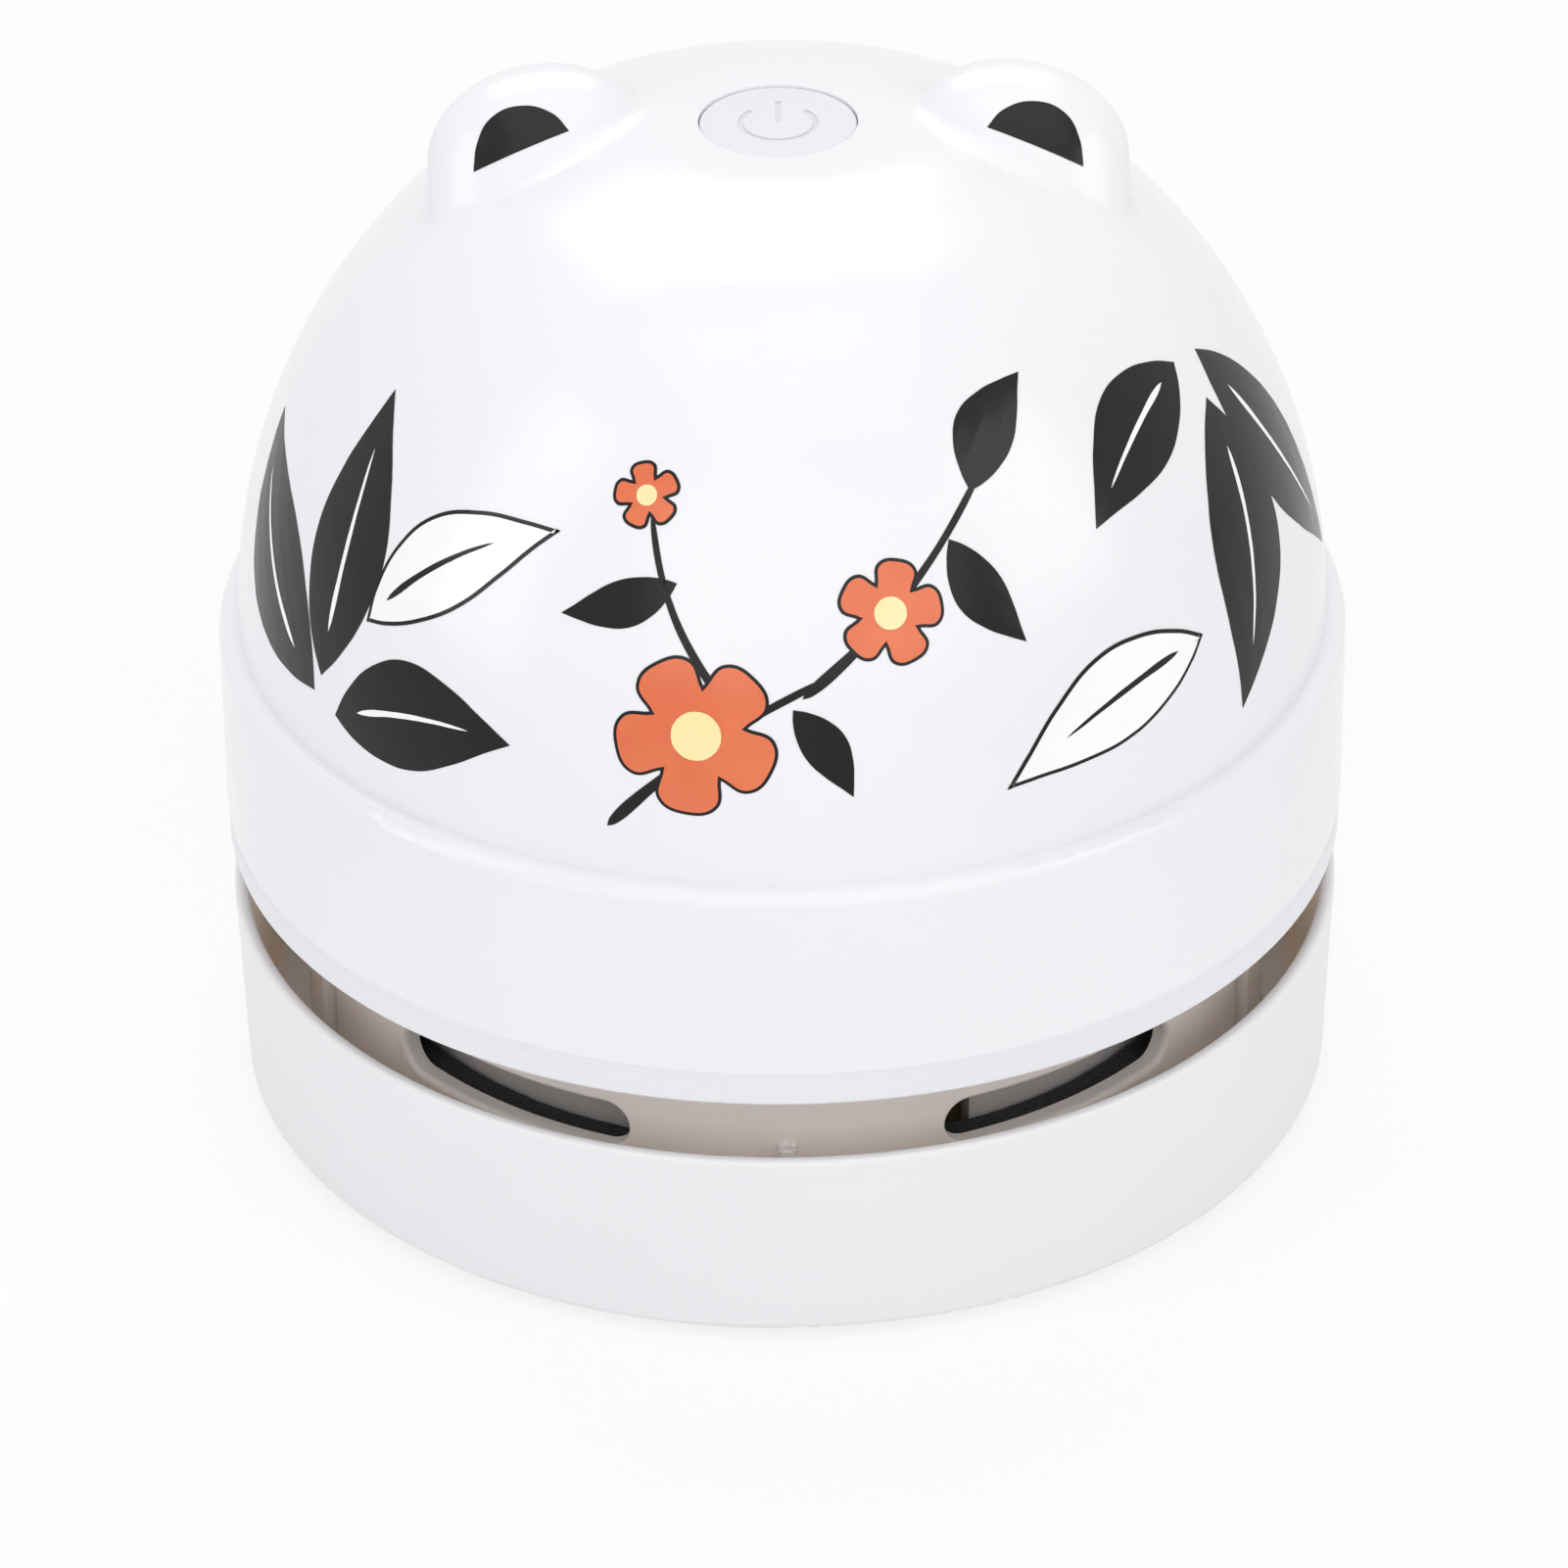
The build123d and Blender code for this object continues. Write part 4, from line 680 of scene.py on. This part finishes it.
def lay(piece, place, ink, over=0):
    """Lays a flat piece on the dome along its plane's normal, as a thin skin of ink."""
    piece.matrix_world = place
    wrap = piece.modifiers.new("lay", "SHRINKWRAP")
    wrap.target, wrap.wrap_method = shell, "PROJECT"
    wrap.use_project_z, wrap.use_positive_direction, wrap.use_negative_direction = True, False, True
    wrap.offset = (lift_of[ink] + over) * mm
    skin = piece.modifiers.new("skin", "SOLIDIFY")
    skin.thickness, skin.offset = 0.02 * mm, -1
    apply_all(piece)
    bpy.ops.object.transform_apply(location=True, rotation=True, scale=True)
    printed[ink].append(piece)


def outlined(name, points, corners, place, ink, width=0.3):
    """Lays one shape in two inks: an even dark line along its edge, and another ink inside it."""
    line = drawn(name + "_line", points, corners)
    edit(line)
    bpy.ops.mesh.dissolve_faces()
    bpy.ops.mesh.inset(thickness=width * mm)
    bpy.ops.mesh.separate(type="SELECTED")
    done()
    inside = next(piece for piece in bpy.context.selected_objects if piece is not line)
    inside.name = name + "_inside"
    lay(diced(line), place, "dark")
    lay(diced(inside), place, ink)


print("ink lifts in mm:", lift_of)

# %% [markdown]
# A leaf is drawn once as a list of half widths along its length. Its midrib bows to one side, as
# a real leaf's does. A vein is the same drawing with a thread of a width.

# %% leaves, veins and blossoms
leaf_shape = ((0.1, 0.42), (0.28, 0.86), (0.48, 1.0), (0.7, 0.72), (0.88, 0.3))
vein_shape = ((0.06, 0.8), (0.35, 1.0), (0.7, 0.75), (0.94, 0.35))
twig_shape = ((0.03, 0.9), (0.3, 1.0), (0.65, 0.8), (0.97, 0.5))


def blade(name, base, tip, width, bow, ink, shape=leaf_shape, span=(0, 1), with_line=False, over=0):
    """Draws a pointed blade from base to tip, given as (azimuth, height), and lays it on the dome."""
    place, length = leaf_frame(base, tip)

    def at(t, half):
        share = span[0] + t * (span[1] - span[0])
        return (share - 0.5) * length, bow * 4 * share * (1 - share) + half * width / 2

    points = [at(0, 0)] + [at(t, half) for t, half in shape]
    points += [at(1, 0)] + [at(t, -half) for t, half in reversed(shape)]
    corners = (0, len(shape) + 1)
    if with_line:
        outlined(name, points, corners, place, ink)
    else:
        lay(diced(drawn(name, points, corners)), place, ink, over)


def blossom(name, centre, radius, turn):
    """Five petals with a thin dark line round them, and a cream heart."""
    spot, _ = on_dome(*centre)
    place, _ = leaf_frame((centre[0] - 2, centre[1]), (centre[0] + 2, centre[1]))
    place.translation = spot + place.to_3x3() @ Vector((0, 0, above))

    def petals(size):
        ring = []
        for i in range(5):
            for swing, reach in ((0, 0.62), (13, 0.93), (36, 1.0), (59, 0.93)):
                angle = math.radians(turn + 72 * i + swing)
                ring.append((size * reach * math.cos(angle), size * reach * math.sin(angle)))
        return ring

    def dot(label, x, y, size, ink):
        turns = [a * math.pi / 4 for a in range(8)]
        ring = [(x + size * math.cos(a), y + size * math.sin(a)) for a in turns]
        lay(diced(drawn(label, ring)), place, ink)

    outlined(name, petals(radius), tuple(range(0, 20, 4)), place, "coral", 0.24)
    dot(name + "_heart", 0, 0, radius * 0.3, "cream")


print("leaf stations:", len(leaf_shape))

# %% the leaves at the left and right
for side, base, tip, width, bow in (
    ("left", (-57, 44.5), (-84, 58.0), 9.5, 1.4),
    ("left", (-56, 46.0), (-60, 66.0), 8.6, -1.0),
    ("left", (-53, 43.8), (-29, 47.5), 8.2, 1.2),
    ("right", (70, 66.0), (85, 45.5), 8.8, -1.3),
    ("right", (66, 63.5), (55, 43.0), 9.6, 1.3),
    ("right", (64, 66.5), (39, 60.5), 7.2, -1.0),
):
    blade("leaf_" + side, base, tip, width, bow, "dark")
    blade("midrib_" + side, base, tip, 0.42, bow, "pale", vein_shape, span=(0.16, 0.8))
for base, tip, width, bow in (
    ((-50, 52.0), (-27, 62.5), 7.0, 1.3),
    ((50, 50.5), (23, 44.8), 7.2, -1.2),
):
    blade("leaf_pale", base, tip, width, bow, "pale", with_line=True)
    blade("leaf_rib", base, tip, 0.45, bow, "dark", vein_shape, span=(0.14, 0.72), over=0.05)
print("dark pieces so far:", len(printed["dark"]))

# %% the blossoms, their twig and a few small leaves
blossom("blossom_large", (-9, 50.5), 6.0, 12)
blossom("blossom_small", (12, 58.5), 3.9, 40)
blossom("blossom_bud", (-17, 65.5), 2.5, 0)
for base, tip, width, bow in (
    ((-18, 43.0), (5, 54.6), 0.7, 1.0),
    ((2, 53.2), (26, 66.0), 0.65, -1.0),
    ((-4, 51.5), (-16, 64.5), 0.6, 1.4),
):
    blade("twig", base, tip, width, bow, "dark", twig_shape)
for base, tip, width, bow in (
    ((24, 65.0), (37, 70.5), 4.6, 0.8),
    ((20, 62.5), (27, 55.0), 3.8, -0.6),
    ((-12, 60.5), (-25, 57.5), 3.4, 0.5),
    ((1, 52.5), (7, 46.0), 3.2, 0.4),
):
    blade("small_leaf", base, tip, width, bow, "dark")
print("pieces per ink:", {name: len(group) for name, group in printed.items()})

# %% [markdown]
# ## Lower ears
# The ears of the solid stand two millimetres too tall, while their width and their foot are
# right. A copy of the shell is merged into one skin, and every point that stands over the dome
# sinks by a third of its height, along the way the ears lean. The dome's own height is read at
# the front, where no ear is, so a point on the dome itself stays where it was.

# %% the dome's height by radius
lean, sink = math.radians(38), 0.33
ear_up = Vector((0, math.sin(lean), math.cos(lean)))
dome_step, dome_steps, dome_height = 0.25 * mm, 140, []
for i in range(dome_steps):
    found, spot, facing, _ = shell.ray_cast(Vector((0, -i * dome_step, 0.1)), Vector((0, 0, -1)))
    dome_height.append((spot.z, abs(facing.z)) if found else (0, 0))


def over_dome(p):
    """How far a point stands over the dome, at right angles to it."""
    share, i = math.modf(math.hypot(p.x, p.y) / dome_step)
    (low, tilt), (high, _) = dome_height[int(i)], dome_height[int(i) + 1]
    return (p.z - low - share * (high - low)) * tilt


print("dome height in the middle, mm:", round(dome_height[0][0] / mm, 2))

# %% a shell with lower ears
crown_half, ear_foot = 7.2 * mm, 66 * mm
eared_shell = bpy.data.objects.new("eared_shell", shell.data.copy())
bpy.context.scene.collection.objects.link(eared_shell)
edit(eared_shell)
bpy.ops.mesh.remove_doubles(threshold=0.001 * mm, use_sharp_edge_from_normals=True)
done()
sunk = 0
for v in eared_shell.data.vertices:
    rise = over_dome(v.co) if abs(v.co.x) > crown_half and v.co.z > ear_foot else 0
    if rise > 0.02 * mm:
        v.co -= ear_up * rise * sink
        sunk += 1
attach(eared_shell, "upper")
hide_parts("upper_shell")
print("points sunk:", sunk, "of", len(eared_shell.data.vertices))

# %% [markdown]
# Each ear has a dark field on its face, straight below and round above. The ears lean back by 38
# degrees, so the field is drawn on a plane that leans with them.

# %% dark fields on the ears
shell = eared_shell
facing = Vector((0, -math.cos(lean), math.sin(lean)))
turn = Matrix(((1, 0, 0), ear_up, facing)).transposed().to_4x4()
before_ear = 8 * mm    # how far in front of an ear its field is drawn
for side in (-1, 1):
    ear_middle = Vector((side * 17.70, 1.486, 76.84)) * mm
    plane = Matrix.Translation(ear_middle + facing * before_ear) @ turn
    field = [(-2.5, 0.15), (-1.3, 1.45), (1.1, 2.1), (3.2, 1.25), (4.25, -0.7), (4.5, -2.75)]
    if side < 0:
        field = [(-x, y) for x, y in reversed(field)]
    lay(diced(drawn("ear_field", field, (0, 5))), plane, "dark")
print("ear fields laid")

# %% one piece per ink
for name, group in printed.items():
    piece = join(group, "print_" + name)
    settle(piece, ink_of[name], "upper", angle=60)
    print(piece.name, "faces:", len(piece.data.polygons))

# %% [markdown]
# ## Turned rims
# The solids come as triangles, and round a thin rim these are so long that they meet in fans and
# show as small teeth against the dark air outlet. A lathe cures that: the section of the rim is
# drawn once, its corners are rounded, and it is spun in many fine steps. It stands 0.015 mm proud
# of the solid, so it covers the teeth without changing the shape.

# %% turned rims


def turned(name, section, corners, rounding, steps=300, cuts=0):
    """Spins a closed section of (radius, height) points in mm, with the listed corners rounded."""
    bpy.ops.object.select_all(action="DESELECT")
    bpy.ops.mesh.primitive_circle_add(vertices=len(section), radius=1 * mm, fill_type="NGON",
                                      location=(0, 0, 0))
    piece = added(name)
    for point, (radius, height) in zip(piece.data.vertices, section):
        point.co = (radius * mm, 0, height * mm)
    rounded = [Vector((section[i][0] * mm, 0, section[i][1] * mm)) for i in corners]
    pick(piece, lambda p: any((p - corner).length < 0.001 * mm for corner in rounded))
    bpy.ops.mesh.bevel(offset=rounding * mm, segments=12, affect="VERTICES")
    bpy.ops.mesh.select_all(action="SELECT")
    bpy.ops.mesh.delete(type="ONLY_FACE")
    bpy.ops.mesh.select_all(action="SELECT")
    if cuts:
        bpy.ops.mesh.subdivide(number_cuts=cuts)
    bpy.ops.mesh.spin(steps=steps, angle=math.tau, center=(0, 0, 0), axis=(0, 0, 1))
    bpy.ops.mesh.select_all(action="SELECT")
    bpy.ops.mesh.remove_doubles(threshold=0.001 * mm)
    bpy.ops.mesh.normals_make_consistent(inside=False)
    done()
    return piece


proud = 0.015
lip_r, lip_in_r, lip_top, lip_from, lip_round = 42.3, 41.3, 16.2, 14.9, 0.45
wall_taper = (0.046, 0.15)    # how far the ring's outer and inner wall lean in below the lip
rim_r, rim_in_r, rim_foot, rim_to, rim_round = 42.4, 40.9, 21.2, 23.4, 0.4
lip = turned("turned_lip", (
    (lip_r - wall_taper[0] + proud, lip_from),
    (lip_r + proud, lip_top + proud),
    (lip_in_r - proud, lip_top + proud),
    (lip_in_r - wall_taper[1] - proud, lip_from),
), (1, 2), lip_round + proud)
rim = turned("turned_rim", (
    (rim_in_r, rim_foot - proud),
    (rim_r + proud, rim_foot - proud),
    (rim_r + proud, rim_to),
    (rim_in_r, rim_to),
), (1,), rim_round + proud)
settle(lip, tray_turned, "base", 40)
settle(rim, housing_turned, "upper", 40)
print("turned rim faces:", len(lip.data.polygons), len(rim.data.polygons))

# %% [markdown]
# ## The mark on the collar
# Where the plastic entered the mould, the collar carries a small upright mark, and it is whiter
# and rougher than the wall. A cube is stretched to its neck, its top face is widened and drawn up
# again for the head, and the head leans back so that it catches the light. Its edges are bevelled,
# and a fine cloud texture tears the skin.

# %% the collar's mark
foot, neck, head = 11.9, 1.3, 0.55
wide, deep, middle_y = 0.92, 0.46, -36.24
bpy.ops.object.select_all(action="DESELECT")
bpy.ops.mesh.primitive_cube_add(size=1, location=(0, middle_y * mm, (foot + neck / 2) * mm))
mould_mark = added("mould_mark")
mould_mark.scale = (wide * mm, deep * mm, neck * mm)
bpy.ops.object.transform_apply(location=True, rotation=True, scale=True)
pick(mould_mark, lambda p: p.z > (foot + neck - 0.05) * mm, "FACE")
bpy.ops.mesh.inset(thickness=0.001 * mm)
bpy.ops.transform.resize(value=(1.3, 1, 1), center_override=(0, middle_y * mm, (foot + neck) * mm))
bpy.ops.mesh.extrude_region_move(TRANSFORM_OT_translate={"value": (0, 0, head * mm)})
pick(mould_mark, lambda p: p.y < (middle_y - 0.18) * mm and p.z > (foot + neck + head / 2) * mm)
bpy.ops.transform.translate(value=(0, 0.12 * mm, 0))
done()
broken = mould_mark.modifiers.new("broken", "BEVEL")
broken.width, broken.segments = 0.09 * mm, 2
apply_all(mould_mark)
edit(mould_mark)
bpy.ops.mesh.subdivide(number_cuts=5)
done()
torn = bpy.data.textures.new("torn", "CLOUDS")
torn.noise_scale = 0.24 * mm
rough = mould_mark.modifiers.new("rough", "DISPLACE")
rough.texture, rough.texture_coords = torn, "GLOBAL"
rough.strength, rough.mid_level = 0.34 * mm, 0.45
apply_all(mould_mark)
mark_white = moulded("mark_white_rough", "f6f3f1", "fdfcfb", (0.3, 0.45), (0.15, 0.01), 0.4,
                     Coat_Weight=1.0, Coat_Roughness=0.3, Coat_IOR=1.9)
settle(mould_mark, mark_white, "base", 40)
print("mould mark size in mm:", [round(v / mm, 2) for v in mould_mark.dimensions])

# %% [markdown]
# ## The foam seal
# A ring of black open-cell foam lies on the collar's flange. Its outer part stands up round the
# foot of the skirt and shows as a dark line along the foot of every slot. The lathe helper spins
# its section too, with more points in it, and a fine cloud texture then roughens it, as cut foam is.

# %% foam ring
foam_low, foam_high = (corner / mm for corner in map(Vector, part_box("foam_seal")))
foam_foot, foam_top, step_top = foam_low.z + 0.05, foam_high.z - 0.03, foam_low.z + 2.28
inside, outside, skirt_side = 30.05, foam_high.x - 0.05, 32.38
foam = turned("foam_ring", (
    (inside, foam_foot), (outside, foam_foot), (outside, foam_top),
    (skirt_side, foam_top), (skirt_side, step_top), (inside, step_top),
), (0, 1, 2, 3, 5), 0.22, 280, 2)
cells = bpy.data.textures.new("foam_cells", "CLOUDS")
cells.noise_scale = 0.7 * mm
rough = foam.modifiers.new("cells", "DISPLACE")
rough.texture, rough.texture_coords = cells, "GLOBAL"
rough.strength, rough.mid_level = 0.14 * mm, 0.75
apply_all(foam)
foam_black = moulded("foam_black_cells", "0c0c0d", "1d1d1f", (0.85, 0.97), (0.22, 0.12), 0.6,
                     Sheen_Weight=0.15)
settle(foam, foam_black, "base", 80)
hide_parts("foam_seal")
print("foam ring points:", len(foam.data.vertices))

# %% [markdown]
# ## The filter cloth
# A disc of white fleece sits in the filter frame under the intake. It is thicker in the middle
# than at its pressed rim, and slightly lumpy, as a cut piece of fleece is.

# %% fleece disc
cloth_low, cloth_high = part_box("filter_disc")
cloth_r, cloth_h = cloth_high.x, cloth_high.z - cloth_low.z
middle_z = (cloth_low.z + cloth_high.z) / 2
rings, ring_step = 11, 2.3 * mm
bpy.ops.object.select_all(action="DESELECT")
bpy.ops.mesh.primitive_cylinder_add(vertices=160, radius=cloth_r - 0.1 * mm, depth=cloth_h - 0.3 * mm,
                                    location=(0, 0, middle_z))
fleece = added("fleece_disc")
bpy.ops.object.transform_apply(location=True, rotation=True, scale=True)
for level in (1, -1):
    pick(fleece, lambda p: (p.z - middle_z) * level > 0.6 * mm and p.to_2d().length < 0.5 * mm, "FACE")
    for _ in range(rings):
        bpy.ops.mesh.inset(thickness=ring_step)
pick(fleece, lambda p: p.to_2d().length > cloth_r - 0.15 * mm)
bpy.ops.transform.resize(value=(1, 1, 0.72), center_override=(0, 0, middle_z))
done()
soft = fleece.modifiers.new("rim", "BEVEL")
soft.width, soft.segments, soft.limit_method = 0.5 * mm, 3, "ANGLE"
lumps = bpy.data.textures.new("fleece_lumps", "CLOUDS")
lumps.noise_scale = 3.5 * mm
uneven = fleece.modifiers.new("lumps", "DISPLACE")
uneven.texture, uneven.texture_coords = lumps, "GLOBAL"
uneven.strength, uneven.mid_level = 0.3 * mm, 0.85
apply_all(fleece)
fleece_white, tree, shader = blank("fleece_white")
fibres = cloud(tree, 0.5, 8, (1, 3, 1))
tree.links.new(tones(tree, spread(tree, fibres, 0, 1), "d2d1cc", "eeeeea"), shader.inputs["Base Color"])
tree.links.new(spread(tree, cloud(tree, 2), 0.85, 0.98), shader.inputs["Roughness"])
relief(tree, shader, fibres, 0.12)
set_sockets(shader, Sheen_Weight=0.3)
settle(fleece, fleece_white, "upper", 60)
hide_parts("filter_disc")
print("fleece points:", len(fleece.data.vertices))

# %% [markdown]
# ## The bristles
# Four rows of nylon tufts under the tray sweep crumbs to the inlet. The fibres of one tuft are
# modelled one by one, splayed a little, and joined. The tuft is then copied to every hole.

# %% one fibre and one tuft
bristle_low, bristle_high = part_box("bristle_tufts")
fibre_length, fibre_count, tuft_r = bristle_high.z - bristle_low.z, 22, 0.52 * mm
golden_turn = 2.39996    # each fibre stands this much further round, so that they fill the hole
chance = random.Random(7)


def fibre(x, y, splay_x, splay_y):
    """One thin fibre, held at its top and leaning outwards at its tip."""
    bpy.ops.object.select_all(action="DESELECT")
    bpy.ops.mesh.primitive_cone_add(vertices=5, radius1=0.085 * mm, radius2=0.05 * mm,
                                    depth=fibre_length, rotation=(math.pi, 0, 0),
                                    location=(x, y, bristle_high.z - fibre_length / 2))
    piece = added("fibre")
    piece.rotation_euler = (math.pi - splay_y, splay_x, 0)
    bpy.ops.object.transform_apply(location=True, rotation=True, scale=True)
    return piece


fibres_made = []
for i in range(fibre_count):
    out, angle = tuft_r * math.sqrt((i + 0.5) / fibre_count), i * golden_turn
    x, y = out * math.cos(angle), out * math.sin(angle)
    splay_x = -x * 55 + chance.uniform(-0.02, 0.02)
    splay_y = -y * 55 + chance.uniform(-0.02, 0.02)
    fibres_made.append(fibre(x, y, splay_x, splay_y))
tuft = join(fibres_made, "tuft")
print("fibres in a tuft:", len(fibres_made), "faces:", len(tuft.data.polygons))

# %% all tufts
tufts, row_r, in_a_row, apart = [], 18.5 * mm, 7, 11
for row in range(4):
    for i in range(in_a_row):
        angle = math.radians(90 * row + apart * (i - (in_a_row - 1) / 2))
        copy = bpy.data.objects.new("tuft_copy", tuft.data.copy())
        bpy.context.scene.collection.objects.link(copy)
        hole = Matrix.Translation((row_r * math.sin(angle), -row_r * math.cos(angle), 0))
        copy.matrix_world = hole @ Matrix.Rotation(chance.uniform(0, math.tau), 4, "Z")
        tufts.append(copy)
bpy.data.objects.remove(tuft)
for copy in tufts:
    only(copy)
    bpy.ops.object.transform_apply(location=True, rotation=True, scale=True)
bristles = join(tufts, "fine_bristles")
bristle_nylon = moulded("bristle_nylon_dark", "1a1a1c", "2b2b2e", (0.3, 0.45), (0.2, 0.002), 1.5)
settle(bristles, bristle_nylon, "base", 50)
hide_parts("bristle_tufts")
print("bristle faces:", len(bristles.data.polygons))

# %% [markdown]
# ## Inside the charging socket
# A plug needs something to meet: a black tongue with five brass contacts stands in the mouth of
# the metal socket. All are small boxes. The tongue has a stepped end and softened edges, and each
# contact is thinner at its outer end.

# %% socket tongue and contacts
socket_low, socket_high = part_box("usb_socket")
socket_z = (socket_low.z + socket_high.z) / 2
tongue_y, contact_count, contact_step = socket_low.y + 2.0 * mm, 5, 0.65 * mm
bpy.ops.object.select_all(action="DESELECT")
bpy.ops.mesh.primitive_cube_add(size=1, location=(0, tongue_y, socket_z + 0.25 * mm))
tongue = added("socket_tongue")
tongue.scale = (4.4 * mm, 3.6 * mm, 0.6 * mm)
bpy.ops.object.transform_apply(location=True, rotation=True, scale=True)
pick(tongue, lambda p: p.y > tongue_y + 1.7 * mm, "FACE")
bpy.ops.mesh.inset(thickness=0.08 * mm)
bpy.ops.mesh.extrude_region_move(TRANSFORM_OT_translate={"value": (0, 0.15 * mm, 0)})
done()
edge = tongue.modifiers.new("edge", "BEVEL")
edge.width, edge.segments = 0.06 * mm, 2
apply_all(tongue)
settle(tongue, black_plastic, "upper")
contacts = []
for i in range(contact_count):
    contact_x = (i - (contact_count - 1) / 2) * contact_step
    bpy.ops.object.select_all(action="DESELECT")
    bpy.ops.mesh.primitive_cube_add(size=1, location=(contact_x, tongue_y, socket_z - 0.08 * mm))
    strip = added("contact")
    strip.scale = (0.3 * mm, 3.2 * mm, 0.1 * mm)
    bpy.ops.object.transform_apply(location=True, rotation=True, scale=True)
    pick(strip, lambda p: p.y > tongue_y + 1.5 * mm and p.z < socket_z)
    bpy.ops.transform.translate(value=(0, 0, 0.05 * mm))
    done()
    contacts.append(strip)
contacts = join(contacts, "socket_contacts")
settle(contacts, brass_sheet, "upper")
print("socket contacts:", contact_count)
